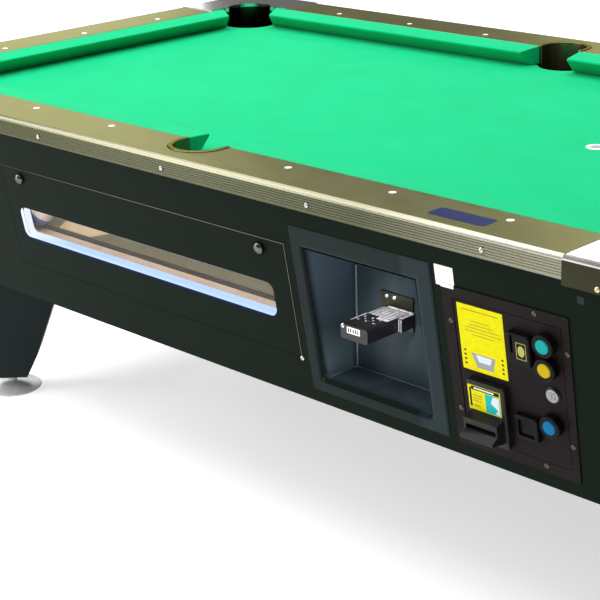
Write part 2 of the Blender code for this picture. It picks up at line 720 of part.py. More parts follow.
# Ball door: a flush panel held by two knobs, whose window is lined with an edge-lit strip
window_limits = (window_left, window_right, WINDOW_LOW, WINDOW_HIGH)
node("ball_door", [prism(face_rectangle(door_limits), 0, WALL, "y")], dark_laminate, front_face,
     cuts=[prism(rounded(*window_limits, WINDOW_CORNER), -through, through, "y")])
pane_front = WALL + SEAT
pane_back = pane_front + PANE_THICK
pane_limits = grown(window_limits, PANE_MARGIN)
pane = prism(face_rectangle(pane_limits), pane_front, pane_back, "y")
node("window_pane", [pane], clear_acrylic, front_face)
light_outside = rounded(*grown(window_limits, -SEAT), WINDOW_CORNER - SEAT)
light_inside = rounded(*grown(window_limits, -SEAT - LIGHT_WALL), WINDOW_CORNER - SEAT - LIGHT_WALL)
node("light_strip", [prism(light_outside, SEAT, WALL, "y")], light_diffuser, front_face,
     cuts=[prism(light_inside, -through, through, "y")])
knob_profile = [(KNOB_BASE, -SEAT)]
knob_profile += [(KNOB_RADIUS * across, -KNOB_PROUD * out) for across, out in KNOB_SHAPE]
knob_v = DOOR_HIGH - KNOB_DROP
for place, name in ((door_left + KNOB_INSET, "left"), (door_right - KNOB_INSET, "right")):
    node(f"door_knob_{name}", [turned(knob_profile, (place, knob_v), "y")], chrome, front_face)

# Ball tray behind the window: a ledge, a slot and a sloping board that the balls lie between, and an inlet
tray_left = door_left - TRAY_WALL - SEAT
tray_right = door_right + TRAY_WALL + SEAT
tray_front = WALL + SEAT
tray_back = tray_front + TRAY_DEPTH + TRAY_WALL
tray_floor = pane_limits[2] - SEAT
tray_low = tray_floor - TRAY_WALL
tray_high = tray_floor + TRAY_HEIGHT
shelf = WINDOW_LOW - TRAY_WALL / 2
cavity_back = tray_back - TRAY_WALL
ledge_back = tray_front + TRAY_LEDGE
board_front = ledge_back + TRAY_SLOT
board_high = shelf + TRAY_RISE
pane_clear = pane_back + SEAT
cavity = [(tray_front - WALL, tray_floor), (pane_clear, tray_floor), (pane_clear, shelf),
          (board_front, shelf), (cavity_back, board_high), (cavity_back, tray_high + WALL),
          (tray_front - WALL, tray_high + WALL)]
cavity_left = tray_left + TRAY_WALL
cavity_right = tray_right - TRAY_WALL
inlet_half = GULLY_WIDTH / 2 - GULLY_WALL
node("ball_tray", [box(tray_left, tray_right, tray_front, tray_back, tray_low, tray_high)], beech, front_face,
     cuts=[prism(cavity, cavity_left, cavity_right, "x"),
           box(cavity_left, cavity_right, ledge_back, board_front, tray_low - WALL, shelf + SEAT),
           box(inlet_x - inlet_half, inlet_x + inlet_half, cavity_back - SEAT, tray_back + WALL,
               board_high, tray_high + WALL)])

# Gully: channels from the pockets into a middle channel, and an outlet to the tray
spine_high = gully_top - GULLY_DEPTH + GULLY_WALL / 2
branch_reach = wall_y(inner, gully_top - GULLY_DEPTH)
half_gully = GULLY_WIDTH / 2
end_branch = corner_x
outlet_v = (spine_low - cabinet_bottom - tray_back * math.sin(lean)) / math.cos(lean)
outlet_end = face_point(0, tray_back, outlet_v)[1] + SEAT
branch_low = gully_top - GULLY_DEPTH
branches = [box(place - half_gully, place + half_gully, -branch_reach, branch_reach, branch_low, gully_top)
            for place in (-end_branch, 0, end_branch)]
spine = box(-end_branch - half_gully, end_branch + half_gully, -half_gully, half_gully, spine_low, spine_high)
outlet = box(inlet_x - half_gully, inlet_x + half_gully, outlet_end, 0, spine_low, spine_high)
hollow = half_gully - GULLY_WALL
spine_floor = spine_low + GULLY_WALL
gully_cuts = [box(place - hollow, place + hollow, -branch_reach + GULLY_WALL, branch_reach - GULLY_WALL,
                  branch_low + GULLY_WALL, gully_top + WALL) for place in (-end_branch, 0, end_branch)]
gully_cuts.append(box(-end_branch - hollow, end_branch + hollow, -hollow, hollow,
                      spine_floor, gully_top + WALL))
gully_cuts.append(box(inlet_x - hollow, inlet_x + hollow, outlet_end - WALL, hollow / 2,
                      spine_floor, gully_top + WALL))
gate_axis_y = outlet_end + 2 * GATE_PIN
gate_axis_z = spine_high - 2 * GATE_PIN


def gate_rod(radius, inset):
    ends = (inlet_x - half_gully + inset, inlet_x + half_gully - inset)
    return turned([(radius, end) for end in ends], (gate_axis_y, gate_axis_z), "x", ROUND // 2)


pin_hole = gate_rod(GATE_PIN + SEAT, GULLY_WALL / 4)
node("ball_gully", [spine], pine, fused=branches + [outlet], cuts=gully_cuts + [pin_hole])

# Ball gate: a flap on a pin across the outlet
gate_half = hollow - RUN
gate_floor = spine_floor + RUN
gate_plate = box(inlet_x - gate_half, inlet_x + gate_half, gate_axis_y - GATE_THICK / 2,
                 gate_axis_y + GATE_THICK / 2, gate_floor, gate_axis_z)
node("ball_gate", [gate_rod(GATE_PIN, GULLY_WALL / 2)], sheet_steel, fused=[gate_plate],
     pivot=(inlet_x, gate_axis_y, gate_axis_z))

# Coin recess: a moulded tub with a flange on the face, whose back wall stands upright
opening = (recess_left + RECESS_RIM, recess_right - RECESS_RIM_RIGHT,
           RECESS_LOW + RECESS_RIM, RECESS_HIGH - RECESS_RIM_TOP)
back_x = (opening[0] + RECESS_DRAFT, opening[1] - RECESS_DRAFT)


def recess_ring(limits, depth):
    left, right, low, high = limits
    return [face_point(left, depth, low), face_point(right, depth, low),
            face_point(right, depth, high), face_point(left, depth, high)]


def back_ring(grow, y):
    return [(back_x[0] - grow, y, recess_back_low - grow), (back_x[1] + grow, y, recess_back_low - grow),
            (back_x[1] + grow, y, recess_back_high + grow), (back_x[0] - grow, y, recess_back_high + grow)]


tub = loft([recess_ring(recess_hole, -RECESS_PROUD), recess_ring(recess_hole, WALL + SEAT),
            back_ring(RECESS_SKIN, recess_back_y + RECESS_SKIN)])
tub_hollow = loft([recess_ring(opening, -WALL), recess_ring(opening, 0), back_ring(0, recess_back_y)])
flange_limits = (recess_left, recess_right, RECESS_LOW, RECESS_HIGH)
flange = loft([recess_ring(grown(flange_limits, -RECESS_PROUD), -RECESS_PROUD),
               recess_ring(flange_limits, -RECESS_PROUD / 3), recess_ring(flange_limits, -SEAT)])
slide_low = slide_z - SLIDE_HEIGHT / 2
slide_high = slide_z + SLIDE_HEIGHT / 2
slide_left = slide_x - SLIDE_WIDTH / 2
slide_right = slide_x + SLIDE_WIDTH / 2
tube_grow = RUN + MECH_WALL


def round_slide(grow, y_low, y_high):
    return box(slide_left - grow, slide_right + grow, y_low, y_high, slide_low - grow, slide_high + grow)


mech_back = recess_back_y + RECESS_SKIN + MECH_LENGTH
node("coin_recess", [flange], blue_black, fused=[tub],
     cuts=[tub_hollow, round_slide(tube_grow + SEAT, recess_back_y - WALL, recess_back_y + WALL)])

# Coin mechanism: a face plate and a guide tube, open below where the coins drop into the cash box
plate_front = recess_back_y - SEAT - PLATE_THICK
plate_z = slide_z + PLATE_RISE
plate = box(slide_x - PLATE_WIDTH / 2, slide_x + PLATE_WIDTH / 2, plate_front, recess_back_y - SEAT,
            plate_z - PLATE_HEIGHT / 2, plate_z + PLATE_HEIGHT / 2)
coin_drop = box(slide_left + MECH_WALL, slide_right - MECH_WALL,
                mech_back - MECH_LENGTH / 2, mech_back - MECH_WALL, slide_low - WALL, slide_z)
node("coin_mechanism", [plate], chrome, fused=[round_slide(tube_grow, plate_front + SEAT, mech_back)],
     cuts=[round_slide(RUN, plate_front - WALL, mech_back + WALL), coin_drop])

# Coin slide: pushed in by hand, with a row of coin slots and a rod at its tail that works the gate
slide_front = recess_back_y - SLIDE_SHOWN
slide_back = recess_back_y + SLIDE_HIDDEN
slide_section = [(slide_left + SLIDE_EDGE, slide_low), (slide_right - SLIDE_EDGE, slide_low),
                 (slide_right, slide_low + SLIDE_EDGE), (slide_right, slide_high - SLIDE_EDGE),
                 (slide_right - SLIDE_EDGE, slide_high), (slide_left + SLIDE_EDGE, slide_high),
                 (slide_left, slide_high - SLIDE_EDGE), (slide_left, slide_low + SLIDE_EDGE)]
slot_pitch = SLIDE_WIDTH / (COIN_SLOTS + 1)
slot_back = plate_front - 2 * MECH_WALL
slot_places = [slide_left + (slot + 1) * slot_pitch for slot in range(COIN_SLOTS)]
slots = [box(place - COIN_SLOT_WIDTH / 2, place + COIN_SLOT_WIDTH / 2,
             slot_back - COIN_SLOT_LENGTH, slot_back,
             slide_high - COIN_SLOT_DEPTH, slide_high + WALL) for place in slot_places]
rod_back = slide_back - ROD_FROM_END
rod = box(slide_left - ROD_LENGTH, slide_left + SLIDE_EDGE, rod_back - ROD_SIZE, rod_back,
          slide_z - ROD_SIZE / 2, slide_z + ROD_SIZE / 2)
node("coin_slide", [prism(slide_section, slide_front, slide_back, "y")], black_metal, fused=[rod], cuts=slots)

# Cash box on the cabinet floor, open on top under the coin drop
cash_low = floor_top + SEAT
cash_y = recess_back_y + RECESS_SKIN + MECH_LENGTH / 2
cash_limits = (slide_x - CASH_WIDTH / 2, slide_x + CASH_WIDTH / 2, cash_y, cash_y + CASH_DEPTH)
cash_high = cash_low + CASH_HEIGHT
cash_inside = face_rectangle(grown(cash_limits, -CASH_WALL), CASH_CORNER)
cash_outside = face_rectangle(cash_limits, CASH_CORNER + CASH_WALL)
node("cash_box", [prism(cash_outside, cash_low, cash_high)], sheet_steel,
     cuts=[prism(cash_inside, cash_low + CASH_WALL, cash_high + WALL)])

# Pay panel frame: a flange on the face and a sleeve through the wall
pay_limits = (pay_left, pay_right, PAY_LOW, PAY_HIGH)
pay_opening = (pay_left + PAY_FLANGE, pay_right - PAY_FLANGE_RIGHT,
               PAY_LOW + PAY_FLANGE, PAY_HIGH - PAY_FLANGE)
frame_body = loft([placed(face_rectangle(limits), depth, "y") for limits, depth in
                   ((pay_limits, -PAY_PROUD), (pay_limits, -SEAT), (pay_hole, -SEAT), (pay_hole, WALL))])
door_front = -PAY_PROUD
door_back = door_front + PAY_DOOR_THICK
door_middle = (door_front + door_back) / 2
pivot_x = pay_opening[0] + PAY_DOOR_GAP + PAY_DOOR_THICK / 2
pay_door_low = pay_opening[2] + PAY_DOOR_GAP
pay_door_high = pay_opening[3] - PAY_DOOR_GAP
pay_door_right = pay_opening[1] - PAY_DOOR_GAP


def pivots(radius, reach):
    return [turned([(radius, low), (radius, high)], (pivot_x, door_middle), "z", ROUND // 2) for low, high in
            ((pay_door_low - reach, pay_door_low + reach), (pay_door_high - reach, pay_door_high + reach))]


node("pay_frame", [frame_body], black_metal, front_face,
     cuts=[prism(face_rectangle(pay_opening, PAY_DOOR_GAP), -through, through, "y")]
     + pivots(PIVOT_RADIUS + SEAT, PIVOT_REACH + SEAT))

# Pay door: hung on pivots at its rounded left edge, pierced for what it carries
door_section = arc((pivot_x, door_middle), PAY_DOOR_THICK / 2, 90, 270, 6)
door_section += [(pay_door_right, door_front), (pay_door_right, door_back)]
hang_front = door_front - SEAT
note_body = (note_left + WALL / 2, note_right - WALL / 2, NOTE_LOW + WALL, NOTE_HIGH - WALL / 2)
coin_limits = (coin_left, coin_right, COIN_LOW, COIN_HIGH)
coin_body = grown(coin_limits, -WALL / 3)
return_limits = (return_left, return_right, RETURN_LOW, RETURN_HIGH)
return_hole = grown(return_limits, -RETURN_RIM)
return_body = grown(return_hole, RETURN_SKIN)
door_cuts = [prism(face_rectangle(grown(limits, SEAT), SEAT), -through, through, "y")
             for limits in (note_body, coin_body, return_body)]
lock_hole = LOCK_BARREL + SEAT
door_cuts.append(turned([(lock_hole, -through), (lock_hole, through)], (lock_x, LOCK_V), "y"))
pay_door_pivot = (pivot_x, door_middle, pay_door_low)
node("pay_door", [prism(door_section, pay_door_low, pay_door_high)], black_metal, front_face,
     fused=pivots(PIVOT_RADIUS, PIVOT_REACH), cuts=door_cuts, pivot=pay_door_pivot)

# Note acceptor: a plain face over a jutting mouth, and the note stacker behind the door
note_front = hang_front - NOTE_FACE
note_limits = (note_left, note_right, NOTE_LOW, NOTE_HIGH)
note_face = loft([placed(face_rectangle(limits), depth, "y") for limits, depth in
                  ((note_limits, hang_front), (note_limits, note_front + NOTE_FACE / 6),
                   (grown(note_limits, -NOTE_FACE / 6), note_front))])
note_root = hang_front - NOTE_FACE / 2
entry_low = NOTE_ENTRY_V - NOTE_ENTRY_HEIGHT / 2
entry_high = NOTE_ENTRY_V + NOTE_ENTRY_HEIGHT / 2
lip_front = hang_front - NOTE_LIP
jaw_front = hang_front - NOTE_JAW
mouth_profile = [(note_root, NOTE_LOW + NOTE_FACE), (jaw_front, NOTE_JAW_LOW), (jaw_front, NOTE_JAW_HIGH),
                 (lip_front, entry_low), (lip_front, NOTE_LIP_HIGH),
                 (note_root, NOTE_LIP_HIGH + NOTE_FACE / 3)]
mouth_left = note_left + NOTE_LIP_INSET
mouth_right = note_right - NOTE_LIP_INSET
node("note_acceptor", [note_face], black_plastic, front_face,
     fused=[prism(mouth_profile, mouth_left, mouth_right, "x"),
            box(note_body[0], note_body[1], hang_front - SEAT, STACKER_DEPTH, note_body[2], note_body[3])],
     cuts=[box(mouth_left + NOTE_LIP_INSET, mouth_right - NOTE_LIP_INSET,
               jaw_front, note_root, entry_low, entry_high)])

# Coin acceptor: a bezel with an upright slot and the selector behind the door
coin_front = hang_front - COIN_PROUD
bezel = loft([placed(face_rectangle(limits), depth, "y") for limits, depth in
              ((coin_limits, hang_front), (coin_limits, coin_front + BEZEL_EDGE),
               (grown(coin_limits, -BEZEL_EDGE), coin_front))])
entry_middle = COIN_HIGH - COIN_ENTRY_DROP
coin_slot = (coin_entry_x - COIN_ENTRY_WIDTH / 2, coin_entry_x + COIN_ENTRY_WIDTH / 2)
node("coin_acceptor", [bezel], black_plastic, front_face,
     fused=[box(coin_body[0], coin_body[1], hang_front - SEAT, SELECTOR_DEPTH, coin_body[2], coin_body[3])],
     cuts=[box(*coin_slot, coin_front - WALL, SELECTOR_DEPTH / 2,
               entry_middle - COIN_ENTRY_HEIGHT / 2, entry_middle + COIN_ENTRY_HEIGHT / 2)])

# Coin return: a cup behind a bezel, with a flap that swings inward from its top edge
return_front = hang_front - RETURN_PROUD
return_bezel = loft([placed(face_rectangle(limits), depth, "y") for limits, depth in
                     ((return_limits, hang_front), (return_limits, return_front + BEZEL_EDGE),
                      (grown(return_limits, -BEZEL_EDGE), return_front))])
flap_front = return_front + FLAP_INSET
flap_axis_y = flap_front + FLAP_THICK / 2
flap_axis_v = return_hole[3] - FLAP_THICK
flap_pin = FLAP_THICK / 2


def flap_rod(radius, reach):
    ends = (return_hole[0] - reach, return_hole[1] + reach)
    return turned([(radius, end) for end in ends], (flap_axis_y, flap_axis_v), "x", ROUND // 2)


node("coin_return_cup", [return_bezel], black_plastic, front_face,
     fused=[box(return_body[0], return_body[1], hang_front - SEAT, RETURN_DEPTH,
                return_body[2], return_body[3])],
     cuts=[prism(face_rectangle(return_hole, SEAT), return_front - WALL, RETURN_DEPTH - RETURN_SKIN, "y"),
           flap_rod(flap_pin + SEAT, RETURN_RIM / 2)])
flap_plate = box(return_hole[0] + RUN, return_hole[1] - RUN, flap_front, flap_front + FLAP_THICK,
                 return_hole[2] + RUN, flap_axis_v)
flap_place = ((return_left + return_right) / 2, flap_axis_y, flap_axis_v)
node("coin_return_flap", [flap_plate], black_plastic, front_face, pivot=flap_place,
     fused=[flap_rod(flap_pin, RETURN_RIM / 3)])

# Push buttons: a lens sliding in a barrel
housing_front = hang_front - BUTTON_HOUSING_PROUD
button_front = housing_front - BUTTON_PROUD
button_back = housing_front + BUTTON_DEPTH
bore_back = button_back + BUTTON_TRAVEL + 2 * RUN
bore_radius = BUTTON_RADIUS + RUN
for name, v, colour in zip(BUTTON_NAMES, BUTTON_HEIGHTS, (teal, yellow, blue)):
    barrel = turned([(BUTTON_HOUSING_RADIUS, hang_front),
                     (BUTTON_HOUSING_RADIUS, housing_front + BUTTON_EDGE),
                     (BUTTON_HOUSING_RADIUS - BUTTON_EDGE, housing_front)], (button_x, v), "y")
    node(f"{name}_barrel", [barrel], black_plastic, front_face,
         cuts=[turned([(bore_radius, housing_front - WALL), (bore_radius, bore_back)], (button_x, v), "y")])
    lens = turned([(BUTTON_RADIUS, button_back), (BUTTON_RADIUS, button_front + BUTTON_EDGE),
                   (BUTTON_RADIUS - BUTTON_EDGE, button_front)], (button_x, v), "y")
    node(name, [lens], colour, front_face, pivot=(button_x, button_front, v))

# Lock: a rimmed barrel and a plug whose cam turns behind the frame
lock_front = hang_front - LOCK_PROUD
lock_bore = LOCK_PLUG + SEAT
lock_profile = [(LOCK_RIM, lock_front), (LOCK_RIM, hang_front), (LOCK_BARREL, hang_front),
                (LOCK_BARREL, LOCK_LENGTH), (lock_bore, LOCK_LENGTH), (lock_bore, lock_front)]
node("lock_barrel", [turned(lock_profile, (lock_x, LOCK_V), "y", closed=True)], chrome, front_face)
cam_front = LOCK_LENGTH + SEAT
plug = turned([(LOCK_PLUG, lock_front), (LOCK_PLUG, cam_front + CAM_THICK)], (lock_x, LOCK_V), "y")
cam = box(lock_x - CAM_WIDTH / 2, lock_x + CAM_WIDTH / 2, cam_front, cam_front + CAM_THICK,
          LOCK_V - CAM_LENGTH, LOCK_V + CAM_WIDTH / 2)
keyway = box(lock_x - KEYWAY_WIDTH / 2, lock_x + KEYWAY_WIDTH / 2, lock_front - WALL, lock_front + LOCK_PROUD,
             LOCK_V - KEYWAY_LENGTH / 2, LOCK_V + KEYWAY_LENGTH / 2)
node("lock_plug", [plug], chrome, front_face, fused=[cam], cuts=[keyway], pivot=(lock_x, lock_front, LOCK_V))

# Cue-ball return: a cup let into the foot end
cue_flange = grown(cue_hole, CUE_RIM)
cue_inside = grown(cue_hole, -CUE_SKIN)
cue_body = loft([placed(face_rectangle(limits, CUE_RIM), depth, "x") for limits, depth in
                 ((cue_flange, -CUE_PROUD), (cue_flange, -SEAT), (cue_hole, -SEAT), (cue_hole, CUE_DEPTH))])
node("cue_ball_cup", [cue_body], black_plastic, end_face,
     cuts=[prism(face_rectangle(cue_inside, CUE_RIM - CUE_SKIN), -through, CUE_DEPTH - CUE_SKIN, "x")])
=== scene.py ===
import json
import math

import bpy
from mathutils import Matrix, Vector

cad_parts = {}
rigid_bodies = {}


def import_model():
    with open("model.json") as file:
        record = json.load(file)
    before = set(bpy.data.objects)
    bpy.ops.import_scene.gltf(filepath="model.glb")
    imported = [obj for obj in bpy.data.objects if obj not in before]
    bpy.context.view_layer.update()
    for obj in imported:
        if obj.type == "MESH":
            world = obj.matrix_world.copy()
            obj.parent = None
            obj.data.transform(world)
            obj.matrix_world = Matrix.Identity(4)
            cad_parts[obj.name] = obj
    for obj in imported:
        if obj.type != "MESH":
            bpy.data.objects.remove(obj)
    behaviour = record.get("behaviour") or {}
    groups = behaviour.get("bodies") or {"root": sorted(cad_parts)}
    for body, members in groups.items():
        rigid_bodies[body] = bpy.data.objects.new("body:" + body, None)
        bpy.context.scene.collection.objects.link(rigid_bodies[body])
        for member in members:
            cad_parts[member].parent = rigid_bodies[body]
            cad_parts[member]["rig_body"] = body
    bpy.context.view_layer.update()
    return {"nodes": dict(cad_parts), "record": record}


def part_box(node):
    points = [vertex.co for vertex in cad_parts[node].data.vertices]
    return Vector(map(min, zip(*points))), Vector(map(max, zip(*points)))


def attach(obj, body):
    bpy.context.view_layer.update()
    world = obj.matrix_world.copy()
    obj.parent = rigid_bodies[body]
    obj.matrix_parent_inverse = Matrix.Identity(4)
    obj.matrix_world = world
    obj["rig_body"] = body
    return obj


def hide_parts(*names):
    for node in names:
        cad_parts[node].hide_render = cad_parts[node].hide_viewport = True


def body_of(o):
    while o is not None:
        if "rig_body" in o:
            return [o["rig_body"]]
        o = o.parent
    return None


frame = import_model()
nodes = frame["nodes"]
mm = 0.001
quarter = math.pi / 2

# where the front face lies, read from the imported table
faceLean = math.atan(0.1715)  # the cabinet walls lean in by this much going down
frontLow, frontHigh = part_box("cabinet_front")
faceLowY = frontLow.y + (frontHigh.z - frontLow.z) * math.tan(faceLean)
faceHome = Matrix.Translation((0, faceLowY, frontLow.z)) @ Matrix.Rotation(faceLean, 4, "X")
print("frame loaded:", len(nodes), "nodes")


# shader maths: a socket that takes part in plain expressions
class Wire:
    def __init__(self, paint, socket):
        self.paint = paint
        self.socket = socket

    def maths(self, how, *parts):
        return self.paint.add("ShaderNodeMath", dict(enumerate(parts)), operation=how)

    def __add__(self, other):
        return self.maths("ADD", self, other)

    def __radd__(self, other):
        return self.maths("ADD", other, self)

    def __sub__(self, other):
        return self.maths("SUBTRACT", self, other)

    def __rsub__(self, other):
        return self.maths("SUBTRACT", other, self)

    def __mul__(self, other):
        return self.maths("MULTIPLY", self, other)

    def __rmul__(self, other):
        return self.maths("MULTIPLY", other, self)

    def __truediv__(self, other):
        return self.maths("DIVIDE", self, other)

    def __rtruediv__(self, other):
        return self.maths("DIVIDE", other, self)

    def __lt__(self, other):
        return self.maths("LESS_THAN", self, other)

    def __abs__(self):
        return self.maths("ABSOLUTE", self)


class Paint:
    def __init__(self, name, **sockets):
        self.material = bpy.data.materials.new(name)
        self.material.use_nodes = True
        self.tree = self.material.node_tree
        self.shader = self.tree.nodes["Principled BSDF"]
        self.set(**sockets)

    # any node: its type, the values or links of its sockets, the output that is wanted, and its settings
    def add(self, kind, sockets=None, out=0, **settings):
        made = self.tree.nodes.new(kind)
        for key, value in settings.items():
            setattr(made, key, value)
        for key, value in (sockets or {}).items():
            self.plug(made.inputs[key], value)
        return Wire(self, made.outputs[out])

    def plug(self, socket, value):
        if isinstance(value, Wire):
            self.tree.links.new(value.socket, socket)
        elif socket.type == "RGBA":
            socket.default_value = (*value, 1)
        else:
            socket.default_value = value

    def set(self, **sockets):
        for key, value in sockets.items():
            self.plug(self.shader.inputs[key.replace("_", " ")], value)
        return self

    def place(self, stretch=(1, 1, 1), turn=(0, 0, 0)):
        spot = self.add("ShaderNodeTexCoord", out="Object")
        return self.add("ShaderNodeMapping", {"Vector": spot, "Rotation": turn, "Scale": stretch})

    # how far along one axis a point of the piece lies
    def along(self, axis):
        return self.add("ShaderNodeSeparateXYZ", {"Vector": self.place()}, axis)

    def noise(self, size, detail=3, rough=0.5, stretch=(1, 1, 1)):
        return self.add("ShaderNodeTexNoise", {
            "Vector": self.place(stretch), "Scale": 1 / size, "Detail": detail, "Roughness": rough})

    # bands of one width: at a scale of 1 the wave texture goes through 20 radians in a metre
    def wave(self, size, direction, twist=0.0, turn=(0, 0, 0)):
        sockets = {"Vector": self.place(turn=turn), "Scale": 2 * math.pi / (20 * size), "Distortion": twist}
        return self.add("ShaderNodeTexWave", sockets, wave_type="BANDS", bands_direction=direction)

    # the node's sockets 6 and 7 and its output 2 are the ones for colours
    def mix(self, share, first, second):
        return self.add("ShaderNodeMix", {0: share, 6: first, 7: second}, out=2, data_type="RGBA")

    def ramp(self, value, *stops):
        shown = self.add("ShaderNodeValToRGB", {"Fac": value})
        marks = shown.socket.node.color_ramp.elements
        while len(marks) < len(stops):
            marks.new(0.5)
        for mark, (place, colour) in zip(marks, stops):
            mark.position = place
            mark.color = (*colour, 1)
        return shown

    # from a finish's dark colour to its light one, with the ends of the range left plain
    def shade(self, value, dark, light, plain=0.3):
        return self.ramp(value, (plain, dark), (1 - plain, light))

    # a roughness that drifts with two textures round the finish's own
    def roughen(self, rough, vary, first, second):
        return self.set(Roughness=first * vary + second * vary + (rough - vary))

    def bump(self, height, depth, strength=0.4):
        return self.set(Normal=self.add("ShaderNodeBump", {
            "Strength": strength, "Distance": depth, "Height": height}))


# finishes
def clothFinish(name, dark, light, sheen, nap, patch, thread, bump):
    paint = Paint(name, Roughness=0.9, Specular_IOR_Level=0.1, Sheen_Weight=sheen, Sheen_Roughness=0.4)
    fuzz = paint.noise(nap, detail=4, rough=0.7)
    drift = paint.noise(patch, detail=2)
    warp = paint.wave(thread, "DIAGONAL")
    weft = paint.wave(thread, "DIAGONAL", turn=(0, 0, quarter))
    weave = warp * 0.5 + weft * 0.5
    paint.set(Base_Color=paint.shade(fuzz * 0.35 + drift * 0.35 + weave * 0.3, dark, light, plain=0.25))
    return paint.bump(weave * 0.6 + fuzz * 0.4, bump, strength=0.35).material


def metalFinish(name, dark, light, rough, vary=0.06, grain=1 * mm, stretch=(1, 1, 1), smear=6 * mm,
                bump=0.01 * mm, edge=(1, 1, 1)):
    paint = Paint(name, Metallic=1.0, Specular_Tint=edge)
    streak = paint.noise(grain, rough=0.6, stretch=stretch)
    smudge = paint.noise(smear, rough=0.6)
    paint.set(Base_Color=paint.shade(streak * 0.6 + smudge * 0.4, dark, light))
    return paint.roughen(rough, vary, streak, smudge).bump(streak, bump).material


# painted, laminated or moulded surface: fine grain in the bump, faint clouds and smears in the gloss
def coatFinish(name, dark, light, rough, gloss, cloud, vary=0.05, grain=1 * mm, bump=0.03 * mm, coat=0):
    paint = Paint(name, Specular_IOR_Level=gloss, Coat_Weight=coat, Coat_Roughness=0.1)
    clouds = paint.noise(cloud, rough=0.6)
    grains = paint.noise(grain, detail=2)
    paint.set(Base_Color=paint.shade(clouds * 0.6 + grains * 0.4, dark, light))
    return paint.roughen(rough, vary, clouds, grains).bump(grains, bump).material


# painted light: the upper face and its chamfer are painted bright as painted highlights, the sides dark as
# painted shade, and one end may be painted brighter than the other
def castingFinish(name, ends, top, litDepth, rough, vary, grain, stretch, smear, first=0, length=1,
                  bump=0.03 * mm, edge=(1, 1, 1)):
    paint = Paint(name, Metallic=1.0, Specular_Tint=edge)
    streak = paint.noise(grain, rough=0.6, stretch=stretch)
    smudge = paint.noise(smear, rough=0.6)
    height = (paint.along(2) - (top - litDepth)) / litDepth + smudge * 0.03
    tones = []
    for side, chamfer, plate in ends:
        tones.append(paint.ramp(height, (0.08, side), (0.2, chamfer), (0.93, chamfer), (0.98, plate)))
    paint.set(Base_Color=paint.mix((paint.along(0) - first) / length, *tones))
    return paint.roughen(rough, vary, streak, smudge).bump(streak, bump).material


# plain metal painted dull at one end and bright at the other: painted light fading along its length
def edgingFinish(name, dull, bright, start, over, rough, grain, stretch, bump):
    paint = Paint(name, Metallic=1.0, Roughness=rough)
    streak = paint.noise(grain, rough=0.6, stretch=stretch)
    share = (paint.along(0) - start) / over + streak * 0.1
    paint.set(Base_Color=paint.ramp(share, (0.05, dull), (1.0, bright)))
    return paint.bump(streak, bump).material


def woodFinish(name, dark, light, rough, figure=30 * mm, stretch=(0.08, 1, 1), ring=14 * mm, across="Z",
               pore=2 * mm, bump=0.05 * mm):
    paint = Paint(name, Roughness=rough)
    warp = paint.noise(figure, detail=4, rough=0.6, stretch=stretch)
    rings = paint.wave(ring, across, twist=6.0)
    pores = paint.noise(pore, detail=2, rough=0.6, stretch=stretch)
    paint.set(Base_Color=paint.shade(warp * 0.5 + rings * 0.25 + pores * 0.25, dark, light, plain=0.25))
    return paint.bump(pores, bump, strength=0.3).material


def lensFinish(name, dark, light, speck=2 * mm):
    paint = Paint(name, Roughness=0.3, Coat_Weight=0.02, Coat_Roughness=0.08, Specular_IOR_Level=0.05)
    return paint.set(Base_Color=paint.shade(paint.noise(speck, detail=2), dark, light)).material


# a lit edge that fades from white along its length
def glowFinish(name, dark, bright, fade, white=(0.84, 0.91, 1.0), glow=0.95, cloud=60 * mm):
    paint = Paint(name, Roughness=0.35, Base_Color=(0.05, 0.06, 0.08), Emission_Strength=glow)
    share = (paint.along(0) - bright) / fade + paint.noise(cloud, detail=2) * 0.15
    return paint.set(Emission_Color=paint.ramp(share, (0.0, white), (1.0, dark))).material


def paneFinish(name, light, haze, clear, cloud):
    paint = Paint(name, Base_Color=light, Specular_IOR_Level=0.6)
    smear = paint.noise(cloud)
    return paint.set(Alpha=smear * haze + clear, Roughness=smear * 0.1 + 0.03).material


# printed foil: flat colour with the slightest mottle
def labelFinish(name, light, rough=0.4, mottle=6 * mm, shaded=0.88):
    paint = Paint(name, Roughness=rough, Specular_IOR_Level=0.04)
    dark = [part * shaded for part in light]
    return paint.set(Base_Color=paint.shade(paint.noise(mottle), dark, light)).material


# a white ball with one broad band of colour round its middle
def ballFinish(name, white, band, axis, middle, half):
    paint = Paint(name, Roughness=0.12, Coat_Weight=0.5, Coat_Roughness=0.04)
    reach = [paint.along(each) * part for each, part in enumerate(axis)]
    banded = abs(reach[0] + reach[1] + reach[2] - middle) < half
    return paint.set(Base_Color=paint.ramp(banded, (0.45, white), (0.55, band))).material


# the coin recess is painted paler inside than on its flange, and its flange paler to the right than to the
# left: painted light, with streaks of painted sheen over the inside
tubLook = {
    "dark": (0.0098, 0.0158, 0.0150), "flange": (0.0165, 0.0268, 0.0305), "pale": 560 * mm,
    "tub": (0.033, 0.052, 0.060), "sheenColour": (0.050, 0.066, 0.086), "sheen": 45 * mm,
    "sheenStretch": (1, 1, 0.12), "from": 3 * mm, "over": 12 * mm, "wallX": 349.5 * mm, "wallOver": -1.5 * mm,
    "wallLow": 441 * mm, "wallHigh": 215 * mm, "wallFoot": (0.115, 0.170, 0.205),
    "wall": (0.038, 0.060, 0.072), "wallTop": (0.074, 0.105, 0.142), "rough": 0.22, "gloss": 0.035,
    "vary": 0.05, "cloud": 90 * mm, "grain": 1.5 * mm, "bump": 0.03 * mm}


